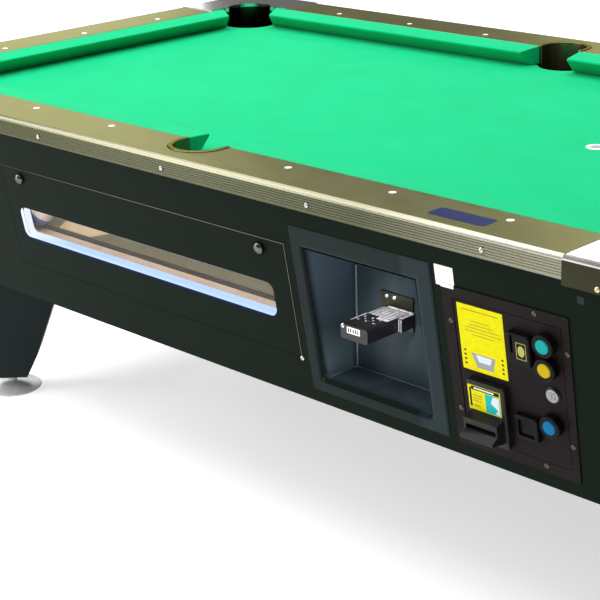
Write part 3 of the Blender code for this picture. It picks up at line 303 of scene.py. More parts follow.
def tubFinish(name, look):
    paint = Paint(name, Specular_IOR_Level=look["gloss"], Coat_Weight=0.02, Coat_Roughness=0.1)
    cloud = paint.noise(look["cloud"], rough=0.6)
    grain = paint.noise(look["grain"], detail=2)
    across, forward, upward = [paint.along(axis) for axis in range(3)]
    flangeShare = (across - look["pale"]) / look["over"] + 0.5
    flange = paint.ramp(flangeShare, (0.0, look["dark"]), (1.0, look["flange"]))
    streak = paint.noise(look["sheen"], detail=2, rough=0.4, stretch=look["sheenStretch"])
    inside = paint.ramp(streak, (0.45, look["tub"]), (0.75, look["sheenColour"]))
    # the wall by the door is painted paler at its foot and its top: painted light
    rise = (upward - look["wallLow"]) / look["wallHigh"] + cloud * 0.2
    wall = paint.ramp(rise, (0.1, look["wallFoot"]), (0.5, look["wall"]), (1.0, look["wallTop"]))
    inside = paint.mix((across - look["wallX"]) / look["wallOver"], inside, wall)
    depth = (forward - faceLowY) * math.cos(faceLean) + (upward - frontLow.z) * math.sin(faceLean)
    paint.set(Base_Color=paint.mix((depth - look["from"]) / look["over"] + cloud * 0.1, flange, inside))
    return paint.roughen(look["rough"], look["vary"], cloud, grain).bump(grain, look["bump"]).material


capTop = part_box("corner_cap_front_right")[1].z
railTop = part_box("edge_trim_front")[1].z
finishes = {
    "cloth": clothFinish(
        "greenCloth", dark=(0.0, 0.36, 0.135), light=(0.0, 0.47, 0.195), sheen=0.02, nap=1.6 * mm,
        patch=120 * mm, thread=1.1 * mm, bump=0.3 * mm),
    "rail": metalFinish(
        "bronzeLaminate", dark=(0.125, 0.122, 0.075), light=(0.185, 0.182, 0.112), rough=0.42, grain=1.5 * mm,
        stretch=(0.05, 1, 1), smear=60 * mm, bump=0.05 * mm, edge=(0.66, 0.65, 0.42)),
    # the trim: painted highlight on its nose and upper face, painted shade on its fluted side, and its right
    # end painted brighter
    "trim": castingFinish(
        "champagneTrim",
        ends=(
            ((0.058, 0.062, 0.039), (0.215, 0.21, 0.145), (0.25, 0.24, 0.175)),
            ((0.19, 0.182, 0.135), (0.47, 0.46, 0.40), (0.47, 0.46, 0.40))),
        first=490 * mm, length=410 * mm, edge=(0.8, 0.78, 0.6), top=railTop, litDepth=10.2 * mm, rough=0.26,
        vary=0.05, grain=1 * mm, stretch=(0.03, 1, 1), smear=40 * mm),
    # the cap: a painted highlight on its chamfer and painted shade down its skirt
    "cap": castingFinish(
        "polishedCasting", ends=(((0.027, 0.027, 0.0165), (0.72, 0.69, 0.65), (0.36, 0.352, 0.318)),) * 2,
        top=capTop, litDepth=10 * mm, rough=0.17, vary=0.06, grain=2 * mm, stretch=(0.4, 0.4, 1), smear=30 * mm),
    "bronze": metalFinish(
        "wornBronze", dark=(0.10, 0.092, 0.045), light=(0.18, 0.168, 0.088), rough=0.38,
        edge=(0.5, 0.47, 0.28), vary=0.08, grain=2 * mm, stretch=(1, 1, 0.3), smear=15 * mm, bump=0.05 * mm),
    "chrome": metalFinish(
        "brightChrome", dark=(0.72, 0.73, 0.75), light=(0.86, 0.86, 0.88), rough=0.12, vary=0.04,
        smear=9 * mm),
    "zinc": coatFinish(
        "zincPlate", dark=(0.50, 0.51, 0.51), light=(0.68, 0.69, 0.69), rough=0.26, gloss=1.0, vary=0.08,
        cloud=18 * mm, grain=2 * mm, bump=0.04 * mm),
    "steel": metalFinish(
        "galvanisedSheet", dark=(0.36, 0.37, 0.38), light=(0.56, 0.57, 0.58), rough=0.42, vary=0.08,
        grain=4 * mm, smear=22 * mm, bump=0.04 * mm),
    "cabinet": coatFinish(
        "darkLaminate", dark=(0.0056, 0.0096, 0.0064), light=(0.0072, 0.012, 0.0083), rough=0.42, gloss=0.013,
        vary=0.07, cloud=180 * mm, grain=1.2 * mm, bump=0.05 * mm),
    "recess": tubFinish("blueBlackMoulding", tubLook),
    "slideBlack": coatFinish(
        "slideEnamel", dark=(0.012, 0.012, 0.013), light=(0.022, 0.022, 0.024), rough=0.28, gloss=0.2,
        cloud=25 * mm, bump=0.02 * mm, coat=0.12),
    "pay": coatFinish(
        "brownBlackPowder", dark=(0.0068, 0.0040, 0.0042), light=(0.0110, 0.0068, 0.0070), rough=0.5,
        gloss=0.06, vary=0.06, cloud=70 * mm, grain=0.9 * mm, bump=0.08 * mm),
    "black": coatFinish(
        "blackMoulding", dark=(0.005, 0.005, 0.0053), light=(0.009, 0.009, 0.0095), rough=0.36, gloss=0.2,
        cloud=30 * mm, grain=0.8 * mm, bump=0.04 * mm),
    "bezelBlack": coatFinish(
        "bezelMoulding", dark=(0.0028, 0.0026, 0.0028), light=(0.0048, 0.0045, 0.0048), rough=0.3, gloss=0.07,
        cloud=20 * mm, grain=0.8 * mm, bump=0.02 * mm),
    "slate": coatFinish(
        "honedSlate", dark=(0.12, 0.125, 0.13), light=(0.2, 0.205, 0.21), rough=0.8, gloss=0.5, cloud=60 * mm,
        grain=3 * mm, bump=0.1 * mm),
    "beech": woodFinish("beechPly", dark=(0.50, 0.38, 0.275), light=(0.64, 0.50, 0.38), rough=0.45),
    "pine": woodFinish(
        "pineBoard", dark=(0.36, 0.25, 0.14), light=(0.55, 0.42, 0.27), rough=0.65, figure=40 * mm,
        stretch=(0.1, 1, 1), ring=20 * mm, across="Y", bump=0.1 * mm),
    "glow": glowFinish("lightDiffuser", dark=(0.45, 0.65, 1.0), bright=-490 * mm, fade=130 * mm),
    "glowLip": glowFinish("litLip", dark=(0.40, 0.61, 1.0), bright=-505 * mm, fade=60 * mm),
    "navy": labelFinish("navySeal", light=(0.0006, 0.008, 0.040), rough=0.6),
    "pane": paneFinish("clearPane", light=(1.0, 0.92, 0.75), haze=0.03, clear=0.02, cloud=80 * mm),
    "mechanism": metalFinish(
        "darkMechanismPlate", dark=(0.022, 0.022, 0.016), light=(0.058, 0.056, 0.038), rough=0.34, vary=0.08,
        grain=2 * mm, stretch=(1, 1, 0.4), smear=14 * mm, bump=0.03 * mm),
    "knob": metalFinish(
        "knobNickel", dark=(0.07, 0.07, 0.066), light=(0.13, 0.13, 0.122), rough=0.16, edge=(0.3, 0.3, 0.28),
        smear=8 * mm, bump=0.02 * mm),
    "lock": metalFinish(
        "lockNickel", dark=(0.18, 0.178, 0.178), light=(0.3, 0.295, 0.295), rough=0.3, smear=8 * mm,
        bump=0.02 * mm),
    "brightSteel": metalFinish(
        "brightScrew", dark=(0.42, 0.42, 0.40), light=(0.58, 0.58, 0.55), rough=0.3, vary=0.05),
    "capScrew": metalFinish(
        "brassScrew", dark=(0.55, 0.45, 0.24), light=(0.75, 0.64, 0.38), rough=0.28, vary=0.05),
    "darkSteel": metalFinish("darkScrew", dark=(0.07, 0.055, 0.05), light=(0.14, 0.11, 0.10), rough=0.35),
    # the door's edging: painted light, dull at its left end and bright at its right
    "edging": edgingFinish(
        "doorEdging", dull=(0.016, 0.017, 0.015), bright=(0.13, 0.124, 0.114), start=-540 * mm, over=420 * mm,
        rough=0.3, grain=1 * mm, stretch=(0.05, 1, 1), bump=0.01 * mm),
    # chrome strips painted white with dark specks: painted glints in place of their reflections
    "ribSteel": coatFinish(
        "slideStrips", dark=(0.14, 0.13, 0.16), light=(1.0, 0.97, 1.0), rough=0.3, gloss=0.6, vary=0.06,
        cloud=5 * mm, grain=1.6 * mm),
    # pale beads in the tub's corners: painted highlights
    "tubBead": coatFinish(
        "tubBead", dark=(0.19, 0.23, 0.28), light=(0.27, 0.32, 0.39), rough=0.25, gloss=0.5, cloud=30 * mm,
        bump=0.02 * mm),
    "legDark": coatFinish(
        "legLaminate", dark=(0.012, 0.0175, 0.017), light=(0.0155, 0.0225, 0.022), rough=0.42, gloss=0.05,
        vary=0.06, cloud=150 * mm, grain=1.2 * mm, bump=0.05 * mm),
    "boardGrey": coatFinish(
        "trayBoard", dark=(0.102, 0.091, 0.048), light=(0.14, 0.126, 0.068), rough=0.5, gloss=0.2, vary=0.06,
        cloud=50 * mm, grain=1.5 * mm),
    # a pale plate on the tray board: painted pool of light
    "rampPly": woodFinish("inletRamp", dark=(0.60, 0.43, 0.25), light=(0.74, 0.55, 0.33), rough=0.5),
    # a black strip in the tray's slot: painted shadow
    "felt": coatFinish(
        "blackFelt", dark=(0.012, 0.008, 0.004), light=(0.02, 0.013, 0.007), rough=0.9, gloss=0.1, vary=0.03,
        cloud=20 * mm, grain=0.8 * mm, bump=0.2 * mm),
    "pearl": labelFinish("pearlSight", light=(0.88, 0.87, 0.80), rough=0.25),
    "ballBlue": ballFinish(
        "stripedBall", white=(0.58, 0.47, 0.38), band=(0.03, 0.08, 0.30), half=9.5 * mm,
        axis=(0.497, 0.232, 0.836), middle=79 * mm),
    "green": lensFinish("tealLens", dark=(0.004, 0.25, 0.245), light=(0.008, 0.33, 0.32)),
    "yellow": lensFinish("yellowLens", dark=(0.41, 0.29, 0.001), light=(0.5, 0.37, 0.003)),
    "blue": lensFinish("blueLens", dark=(0.001, 0.10, 0.24), light=(0.002, 0.15, 0.33)),
}

# labels and inks, by colour
inks = {
    "blueSticker": (0.016, 0.023, 0.085), "yellowLabel": (0.69, 0.63, 0.002),
    "whiteLabel": (0.85, 0.86, 0.86), "oliveInk": (0.36, 0.33, 0.02), "oliveLight": (0.40, 0.40, 0.10),
    "blackInk": (0.012, 0.012, 0.011), "greyInk": (0.30, 0.31, 0.32), "paleInk": (0.62, 0.68, 0.72),
    "tealInk": (0.02, 0.42, 0.40), "greyMark": (0.024, 0.029, 0.028)}
for name, colour in inks.items():
    finishes[name] = labelFinish(name, colour)
print("finishes made:", len(finishes))

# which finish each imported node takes
nodeFinish = {
    "slate_bed": "slate", "bed_cloth": "cloth", "top_rail": "rail", "cushion": "cloth",
    "side_pocket_liner": "bronze", "corner_cap": "cap", "edge_trim": "trim", "cabinet": "cabinet",
    "slate_frame": "pine", "leg": "legDark", "leveller": "zinc", "ball_door": "cabinet",
    "window_pane": "pane", "light_strip": "glow", "door_knob": "knob", "ball_tray": "beech",
    "ball_gully": "pine", "ball_gate": "steel", "coin_recess": "recess", "coin_mechanism": "mechanism",
    "coin_slide": "slideBlack", "cash_box": "steel", "pay_frame": "pay", "pay_door": "pay",
    "note_acceptor": "black", "coin_acceptor": "bezelBlack", "coin_return": "bezelBlack",
    "button_green_barrel": "bezelBlack", "button_yellow_barrel": "bezelBlack",
    "button_blue_barrel": "bezelBlack", "button_green": "green", "button_yellow": "yellow",
    "button_blue": "blue", "lock": "lock", "cue_ball_cup": "black",
}


def finishOf(nodeName):
    fits = [key for key in nodeFinish if nodeName.startswith(key)]
    return finishes[nodeFinish[max(fits, key=len)]]


for name, packed in nodes.items():
    packed.data.materials.clear()
    packed.data.materials.append(finishOf(name))
print("packed nodes dressed")

slotOf = {part["node"]: part["material_slot"] for part in frame["record"]["subparts"]}
touch = 0.1 * mm  # places nearer than this count as the same


# modelling by hand: one object at a time, with what is worked on picked by its place
def only(piece):
    bpy.ops.object.select_all(action="DESELECT")
    piece.select_set(True)
    bpy.context.view_layer.objects.active = piece


def edit(piece, kind, test=None):
    only(piece)
    mesh = piece.data
    groups = {"VERT": mesh.vertices, "EDGE": mesh.edges, "FACE": mesh.polygons}
    bpy.context.tool_settings.mesh_select_mode = tuple(kind == each for each in groups)
    for group in groups.values():
        group.foreach_set("select", [False] * len(group))
    for item in groups[kind]:
        if kind == "EDGE":
            ends = [mesh.vertices[index].co for index in item.vertices]
            item.select = test is None or test(*ends)
        elif kind == "FACE":
            item.select = test is None or test(item.center, item.normal)
        else:
            item.select = test is None or test(item.co)
    bpy.ops.object.mode_set(mode="EDIT")


def done():
    bpy.ops.object.mode_set(mode="OBJECT")


def modify(piece, kind, **settings):
    only(piece)
    change = piece.modifiers.new(kind.lower(), kind)
    for key, value in settings.items():
        setattr(change, key, value)
    bpy.ops.object.modifier_apply(modifier=change.name)


def soften(piece, width, segments=2, angle=30):
    modify(piece, "BEVEL", width=width * mm, segments=segments, limit_method="ANGLE",
           angle_limit=math.radians(angle), use_clamp_overlap=True, harden_normals=False)


def cutBy(piece, cutter):
    modify(piece, "BOOLEAN", operation="DIFFERENCE", object=cutter, solver="EXACT")
    bpy.data.objects.remove(cutter)
    return piece


def settled(piece):
    only(piece)
    bpy.ops.object.transform_apply(location=True, rotation=True, scale=True)
    return piece


def finished(piece, name, finish, body="table", slot=None, smooth=30, hides=()):
    settled(piece)
    edit(piece, "FACE")
    bpy.ops.mesh.normals_make_consistent(inside=False)
    done()
    piece.name = name
    piece.data.name = name
    piece.data.materials.clear()
    piece.data.materials.append(finish)
    bpy.ops.object.shade_smooth_by_angle(angle=math.radians(smooth))
    modify(piece, "WEIGHTED_NORMAL", keep_sharp=True)
    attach(piece, body)
    if hides:
        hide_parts(*hides)
    return piece


def camel(nodeName):
    first, *rest = nodeName.split("_")
    return first + "".join(word.capitalize() for word in rest)


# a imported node's own shape with its triangles joined up into whole faces, to be worked on further
workFacts = {"weld": 0.02 * mm, "flat": math.radians(0.5)}


def workpiece(nodeName):
    piece = bpy.data.objects.new(camel(nodeName), nodes[nodeName].data.copy())
    bpy.context.scene.collection.objects.link(piece)
    edit(piece, "FACE")
    bpy.ops.mesh.remove_doubles(threshold=workFacts["weld"])
    bpy.ops.mesh.dissolve_limited(angle_limit=workFacts["flat"])
    done()
    return piece


def standIn(piece, nodeName, smooth=30):
    return finished(piece, camel(nodeName), finishOf(nodeName), body_of(nodes[nodeName])[0],
                    slotOf[nodeName], smooth, [nodeName])


# pieces made from nothing take their sizes and places in millimetres
def metres(sizes):
    return [size * mm for size in sizes]


# a block between two corners
def block(low, high, edgeWidth=0, segments=2):
    low, high = metres(low), metres(high)
    bpy.ops.object.select_all(action="DESELECT")
    middle = [(a + b) / 2 for a, b in zip(low, high)]
    bpy.ops.mesh.primitive_cube_add(size=1, location=middle)
    piece = bpy.context.object
    piece.scale = [b - a for a, b in zip(low, high)]
    settled(piece)
    if edgeWidth:
        soften(piece, edgeWidth, segments)
    return piece


# a plate of any outline: a ring of corners drawn out to its places, then given its thickness
startRing = 2  # in metres, so wide that no corner starts where another belongs


def drawnPlate(corners, thick):
    bpy.ops.object.select_all(action="DESELECT")
    bpy.ops.mesh.primitive_circle_add(vertices=len(corners), radius=startRing, fill_type="NGON")
    piece = bpy.context.object
    for home, corner in zip([point.co.copy() for point in piece.data.vertices], corners):
        edit(piece, "VERT", lambda place: (place - home).length < touch)
        bpy.ops.transform.translate(value=Vector(metres(corner)) - home)
        done()
    edit(piece, "FACE")
    bpy.ops.mesh.extrude_region_move(TRANSFORM_OT_translate={"value": metres(thick)})
    done()
    return piece


# a round piece drawn up from a circle through steps of radius and height
def drawnUp(steps, sides):
    (radius, height), *rest = [metres(step) for step in steps]
    bpy.ops.object.select_all(action="DESELECT")
    bpy.ops.mesh.primitive_circle_add(
        vertices=sides, radius=radius, location=(0, 0, height), fill_type="NGON")
    piece = settled(bpy.context.object)
    edit(piece, "FACE")
    for nextRadius, nextHeight in rest:
        bpy.ops.mesh.extrude_region_move(TRANSFORM_OT_translate={"value": (0, 0, nextHeight - height)})
        grow = nextRadius / radius
        bpy.ops.transform.resize(value=(grow, grow, 1), center_override=(0, 0, nextHeight))
        radius, height = nextRadius, nextHeight
    done()
    return piece


# puts a piece made round the origin where it belongs: moves, copies, and the tilt of the front face
def moved(piece, place=(0, 0, 0), turn=(0, 0, 0)):
    piece.location = metres(place)
    piece.rotation_euler = turn
    return settled(piece)


def copied(piece):
    other = piece.copy()
    other.data = piece.data.copy()
    bpy.context.scene.collection.objects.link(other)
    return other


def onFace(piece):
    piece.matrix_world = faceHome
    return settled(piece)


def joined(pieces):
    bpy.ops.object.select_all(action="DESELECT")
    for piece in pieces:
        piece.select_set(True)
    bpy.context.view_layer.objects.active = pieces[0]
    bpy.ops.object.join()
    return pieces[0]


# rigid nodes that keep their shape: how far their edges are eased, in millimetres, and in how many steps
easedEdges = {
    "top_rail": (1.5, 2), "side_pocket_liner": (2.2, 3), "corner_cap": (0.9, 2), "edge_trim": (0.35, 1),
    "cabinet": (1.2, 2), "leg": (3.5, 3), "leveller": (0.8, 2), "door_knob": (0.6, 2), "ball_door": (1.0, 2),
    "light_strip": (0.8, 2), "ball_tray": (1.0, 1), "coin_recess": (4.5, 4), "coin_mechanism": (0.8, 2),
    "cash_box": (0.6, 1), "pay_frame": (0.8, 2), "pay_door": (0.5, 2), "note_acceptor": (1.6, 3),
    "coin_acceptor": (1.0, 2), "coin_return_cup": (1.2, 3), "coin_return_flap": (0.4, 2),
    "cue_ball_cup": (2.0, 3), "button_green_barrel": (1.0, 3), "button_yellow_barrel": (1.0, 3),
    "button_blue_barrel": (1.0, 3), "lock_barrel": (1.0, 3),
}
toFace = faceHome.inverted()

# the moulding rolls over softly from its flange into the tub
recessLip = {"width": 9 * mm, "steps": 5, "flange": 20 * mm, "low": 40 * mm, "high": 325 * mm}


def rollRecessLip(piece):
    left, right = [end.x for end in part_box("coin_recess")]
    left, right = left + recessLip["flange"], right - recessLip["flange"]

    def atLip(*ends):
        flat = [toFace @ end for end in ends]
        return all(end.y < 0 and left < end.x < right and recessLip["low"] < end.z < recessLip["high"]
                   for end in flat)

    edit(piece, "EDGE", atLip)
    bpy.ops.mesh.bevel(offset=recessLip["width"], segments=recessLip["steps"], affect="EDGES")
    done()


# a cap's chamfer runs further down the skirt than across the plate, and the skirt's lower corners are rounded
capChamfer = {"level": 4 * mm, "near": 0.3 * mm, "drop": 4.5 * mm, "corner": 8 * mm, "steps": 5}


def shapeCap(piece):
    edge = capTop - capChamfer["level"]
    edit(piece, "VERT", lambda point: abs(point.z - edge) < capChamfer["near"])
    bpy.ops.transform.translate(value=(0, 0, -capChamfer["drop"]))
    done()
    low = min(point.co.z for point in piece.data.vertices) + touch
    foot = [point.co.copy() for point in piece.data.vertices if point.co.z < low]
    stops = [min(abs(point[axis]) for point in foot) for axis in (0, 1)]

    def atStop(*ends):
        stopped = [all(abs(abs(end[axis]) - stops[axis]) < touch for end in ends) for axis in (0, 1)]
        return all(end.z < low for end in ends) and any(stopped)

    edit(piece, "EDGE", atStop)
    bpy.ops.mesh.bevel(offset=capChamfer["corner"], segments=capChamfer["steps"], affect="EDGES")
    done()


# the lit ring stands a little behind the door's face
lightFacts = {"front": 2 * mm, "setBack": 3.5 * mm}


def setBackLight(piece):
    edit(piece, "VERT", lambda point: (toFace @ point).y < lightFacts["front"])
    bpy.ops.transform.translate(value=faceHome.to_3x3() @ Vector((0, lightFacts["setBack"], 0)))
    done()


reshaped = {"coin_recess": rollRecessLip, "corner_cap": shapeCap, "light_strip": setBackLight}
for name in sorted(nodes):
    fits = [key for key in easedEdges if name.startswith(key)]
    if not fits:
        continue
    kind = max(fits, key=len)
    piece = workpiece(name)
    if kind in reshaped:
        reshaped[kind](piece)
    soften(piece, *easedEdges[kind])
    standIn(piece, name)
print("edges eased")

# bed cloth: stretched flat over the slate and turned down into the pockets
clothFacts = {
    "upright": 0.9, "turnDown": 17 * mm, "roll": 3 * mm, "steps": 3, "thick": 0.7 * mm, "tuck": 30 * mm}
clothLow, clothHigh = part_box("bed_cloth")
cloth = workpiece("bed_cloth")
edit(cloth, "FACE", lambda centre, normal: normal.z < clothFacts["upright"])
bpy.ops.mesh.delete(type="FACE")
done()


def atPocket(*ends):
    return any(abs(end.x) < clothHigh.x - touch and abs(end.y) < clothHigh.y - touch for end in ends)


edit(cloth, "EDGE", atPocket)
bpy.ops.mesh.extrude_region_move(TRANSFORM_OT_translate={"value": (0, 0, -clothFacts["turnDown"])})
done()
edit(cloth, "EDGE", lambda a, b: atPocket(a, b) and min(a.z, b.z) > clothHigh.z - touch)
bpy.ops.mesh.bevel(offset=clothFacts["roll"], segments=clothFacts["steps"], affect="EDGES")
done()
modify(cloth, "SOLIDIFY", thickness=clothFacts["thick"], offset=-1)
standIn(cloth, "bed_cloth")

# cushions: rubber noses under tight cloth, round along their edges
cushionFacts = {"round": 2.4, "steps": 3, "angle": 20, "smooth": 60}
for name in sorted(key for key in nodes if key.startswith("cushion")):
    piece = workpiece(name)
    soften(piece, cushionFacts["round"], cushionFacts["steps"], cushionFacts["angle"])
    cushion = standIn(piece, name, cushionFacts["smooth"])
print("cloth and cushions made")

# screws: a domed head with a cross sunk in it, modelled once standing on Z
screwFacts = {"steps": ((4.4, 0), (4.4, 0.5), (3.9, 1.2), (2.6, 1.8), (1.2, 2.0)), "sides": 24,
              "cross": (0.5, 2.6), "crossFloor": 1.1, "crossTop": 4}
screw = drawnUp(screwFacts["steps"], screwFacts["sides"])
wide, long = screwFacts["cross"]
for x, y in ((long, wide), (wide, long)):
    cutBy(screw, block((-x, -y, screwFacts["crossFloor"]), (x, y, screwFacts["crossTop"])))


def screwAt(place, turn=(0, 0, 0)):
    return moved(copied(screw), place, turn)


# rail sights and trim screws, all the way round
railFacts = {"sightX": (241.3, 482.6, 723.9), "sightY": 577.1, "endX": 1059.7, "endY": (-241.3, 0, 241.3),
             "top": 799.8, "sight": ((6.6, 0), (6.6, 0.5), (5.6, 0.8)), "sides": 28,
             "screwX": (-734.4, -367.2, 0, 367.2, 734.4), "screwY": 662.0, "screwZ": 775.6,
             "screwEndX": 1144.6, "screwEndY": (-367.2, 0, 367.2)}
sight = drawnUp(railFacts["sight"], railFacts["sides"])
sights, trimScrews = [], []
for side in (-1, 1):
    places = [(end * x, side * railFacts["sightY"]) for x in railFacts["sightX"] for end in (-1, 1)]
    places += [(side * railFacts["endX"], y) for y in railFacts["endY"]]
    sights += [moved(copied(sight), (x, y, railFacts["top"])) for x, y in places]
    for x in railFacts["screwX"]:
        place = (x, side * railFacts["screwY"], railFacts["screwZ"])
        trimScrews.append(screwAt(place, (-side * quarter, 0, 0)))
    for y in railFacts["screwEndY"]:
        place = (side * railFacts["screwEndX"], y, railFacts["screwZ"])
        trimScrews.append(screwAt(place, (0, side * quarter, 0)))
bpy.data.objects.remove(sight)
finished(joined(sights), "railSights", finishes["pearl"], slot="trim_aluminium")
finished(joined(trimScrews), "trimScrews", finishes["brightSteel"], slot="zinc")

# a screw in the side of each cap, beside the trim
capScrewFacts = {"x": 945.1, "y": 663.9, "z": 761.5}
capScrews = []
for side in (-1, 1):
    for end in (-1, 1):
        place = (end * capScrewFacts["x"], side * capScrewFacts["y"], capScrewFacts["z"])
        capScrews.append(screwAt(place, (-side * quarter, 0, 0)))
finished(joined(capScrews), "capScrews", finishes["capScrew"], slot="polished_casting")

# foot spot on the cloth: a ring and its eye, each with its radius, height and finish
spotFacts = {"place": (482.6, 0, 757.95), "sides": 48, "wall": 0.6, "bevel": 0.3,
             "rings": (("footSpot", 20.5, 0.25, "whiteLabel"), ("footSpotEye", 13, 0.4, "greyInk"))}
for name, radius, high, finish in spotFacts["rings"]:
    steps = [(radius, 0), (radius, high * spotFacts["wall"]), (radius - spotFacts["bevel"], high)]
    ring = moved(drawnUp(steps, spotFacts["sides"]), spotFacts["place"])
    finished(ring, name, finishes[finish], slot="black_plastic")


# rounds the corners of a thin block, whose edges run along one axis
def roundCorners(piece, axis, radius, steps):
    others = [other for other in range(3) if other != axis]
    edit(piece, "EDGE", lambda a, b: all(abs(a[other] - b[other]) < touch for other in others))
    bpy.ops.mesh.bevel(offset=radius * mm, segments=steps, affect="EDGES")
    done()
    return piece


# a blank sticker on the rail
decalFacts = {"low": (599, -630, 799.9), "high": (712, -590, 800.25), "corner": 7, "steps": 6}
decal = block(decalFacts["low"], decalFacts["high"])
roundCorners(decal, axis=2, radius=decalFacts["corner"], steps=decalFacts["steps"])
finished(decal, "railSticker", finishes["blueSticker"], slot="rail_laminate")
print("sights, screws and spot made")

# thin pieces lying on the front face, placed by x and by height up the face
panelFacts = {"corner": 1.0, "cornerShare": 0.3, "small": 2, "fewSteps": 2, "manySteps": 8,
              "film": 0.3, "ink": 0.12}
facing = (quarter, 0, 0)  # turns what stands on Z to look out of the face


def onPanel(low, high, lowDepth, highDepth, corner=panelFacts["corner"]):
    piece = block((low[0], lowDepth, low[1]), (high[0], highDepth, high[1]))
    radius = min(corner, *[panelFacts["cornerShare"] * (b - a) for a, b in zip(low, high)])
    steps = panelFacts["fewSteps"] if radius < panelFacts["small"] else panelFacts["manySteps"]
    return roundCorners(piece, axis=1, radius=radius, steps=steps)


def marks(rows, depth):
    return joined([onPanel(row[:2], row[2:], depth - panelFacts["ink"], depth) for row in rows])


def flatShape(corners, depth):
    return drawnPlate([(x, depth, v) for x, v in corners], (0, -panelFacts["ink"], 0))


def dressed(piece, name, finish, body="table", slot=None, smooth=30):
    return finished(onFace(piece), name, finishes[finish], body, slot, smooth)


# pay panel: screws of the frame and an instruction plate with plain bars, arrows and shapes
payFacts = {
    "screws": ((820.4, 311.7), (875.8, 257.1), (872.9, 92.8), (817.9, 40), (653.4, 256.9), (653.8, 95.7)),
    "face": -2.5, "plate": ((668.5, 176.3), (758, 294.5)),
    "lines": (
        (677, 284.6, 750, 286.6), (694, 266, 730, 267.6), (690, 260, 736, 261.6), (683, 254, 748, 255.6),
        (680, 248, 752, 249.6), (694, 242, 738, 243.6)),
    "arrow": ((-2.6, 0), (1.4, 2.8), (1.4, 0.8), (3.2, 0.8), (3.2, -0.8), (1.4, -0.8), (1.4, -2.8)),
    "arrowX": (675.5, 749.5), "arrowV": (211, 203, 195, 187),
    "tray": ((688, 209), (736, 209), (730, 184), (698, 184)),
    "trayLight": ((697, 207), (729, 207), (725, 195), (703, 195))}
onPayMetal = ("pay_door", "pay_metal")  # the body and the slot
face = payFacts["face"]
film = face - panelFacts["film"]
payScrews = [screwAt((x, face, v), facing) for x, v in payFacts["screws"]]
dressed(joined(payScrews), "payFrameScrews", "darkSteel", slot="pay_metal")
dressed(onPanel(*payFacts["plate"], film, face), "instructionPlate", "yellowLabel", *onPayMetal)
dressed(marks(payFacts["lines"], film), "instructionLines", "oliveInk", *onPayMetal)
arrows = []
for x in payFacts["arrowX"]:
    for v in payFacts["arrowV"]:
        arrows.append(flatShape([(x + right, v + up) for right, up in payFacts["arrow"]], film))
dressed(joined(arrows), "instructionArrows", "blackInk", *onPayMetal)
dressed(flatShape(payFacts["tray"], film), "instructionTray", "greyInk", *onPayMetal)
dressed(
    flatShape(payFacts["trayLight"], film - panelFacts["ink"]), "instructionTrayLight", "paleInk",
    *onPayMetal)

# the note reader's plate: a dark band with a pale line, an arrow, bars and a plain picture
noteFacts = {
    "face": -14.8, "plate": ((683, 112), (747.5, 157)), "band": (690, 149, 746, 156),
    "bandLine": (695, 151, 736, 154),
    "bars": (
        (692, 138.5, 711, 140.5), (692, 133.5, 711, 135.5), (692, 128.5, 709, 130.5), (694, 119, 706, 122)),
    "arrow": ((686, 152), (689.5, 152), (689.5, 122), (691, 122), (687.7, 115), (684.4, 122), (686, 122)),
    "picture": (717, 113.5, 746, 147.5),
    "hill": ((733, 146), (744.5, 146), (744.5, 115), (736, 115), (741, 124), (728, 133))}
onPayPlastic = ("pay_door", "black_plastic")
face = noteFacts["face"]
film = face - panelFacts["film"]
dressed(onPanel(*noteFacts["plate"], film, face), "notePlate", "yellowLabel", *onPayPlastic)
band = joined([marks([noteFacts["band"]], film), flatShape(noteFacts["arrow"], film)])
dressed(band, "noteBand", "blackInk", *onPayPlastic)
dressed(marks(noteFacts["bars"], film), "noteLines", "oliveInk", *onPayPlastic)
dressed(marks([noteFacts["bandLine"]], film - panelFacts["ink"]), "noteBandLine", "paleInk", *onPayPlastic)
dressed(marks([noteFacts["picture"]], film), "notePicture", "tealInk", *onPayPlastic)
dressed(flatShape(noteFacts["hill"], film - panelFacts["ink"]), "notePictureHill", "paleInk", *onPayPlastic)

# coin entry: a small pictogram of a plain coin in a square
coinFacts = {"face": -14.8, "square": (789, 232, 808, 261), "line": 1.0, "coin": (798.5, 246.5),
             "radii": (6.4, 9.6), "sides": 24}
left, low, right, high = coinFacts["square"]
line = coinFacts["line"]
border = [(left, low, right, low + line), (left, high - line, right, high),
          (left, low + line, left + line, high - line), (right - line, low + line, right, high - line)]
dressed(marks(border, coinFacts["face"]), "coinSquare", "oliveLight", *onPayPlastic)
(x, v), (wide, tall) = coinFacts["coin"], coinFacts["radii"]
turns = [2 * math.pi * step / coinFacts["sides"] for step in range(coinFacts["sides"])]
coin = [(x + wide * math.cos(turn), v + tall * math.sin(turn)) for turn in turns]
dressed(flatShape(coin, coinFacts["face"]), "coinDisc", "oliveLight", *onPayPlastic)

# a blank white sticker that folds over the edge of the pay frame, and a small square mark near the cap
stickerFacts = {"left": 628.5, "low": 315, "right": 666, "high": 351, "frameLeft": 639.6, "fold": 320.4,
                "frameFace": -2.5, "thick": 0.3}
left, right, low, high = [stickerFacts[side] for side in ("left", "right", "low", "high")]
edge, fold, face, thick = [stickerFacts[fact] for fact in ("frameLeft", "fold", "frameFace", "thick")]
sticker = [onPanel((left, fold), (right, high), -thick, 0),
           onPanel((left, low), (edge - thick, fold), -thick, 0),
           onPanel((edge, low), (right, fold + thick), face - thick, face),
           onPanel((edge, fold), (right, fold + thick), face, 0)]
dressed(joined(sticker), "blankSticker", "whiteLabel", slot="dark_laminate")
markFacts = {"low": (900, 349), "high": (912, 361), "thick": 0.15}
mark = onPanel(markFacts["low"], markFacts["high"], -markFacts["thick"], 0)
dressed(mark, "smallMark", "greyMark", slot="dark_laminate")

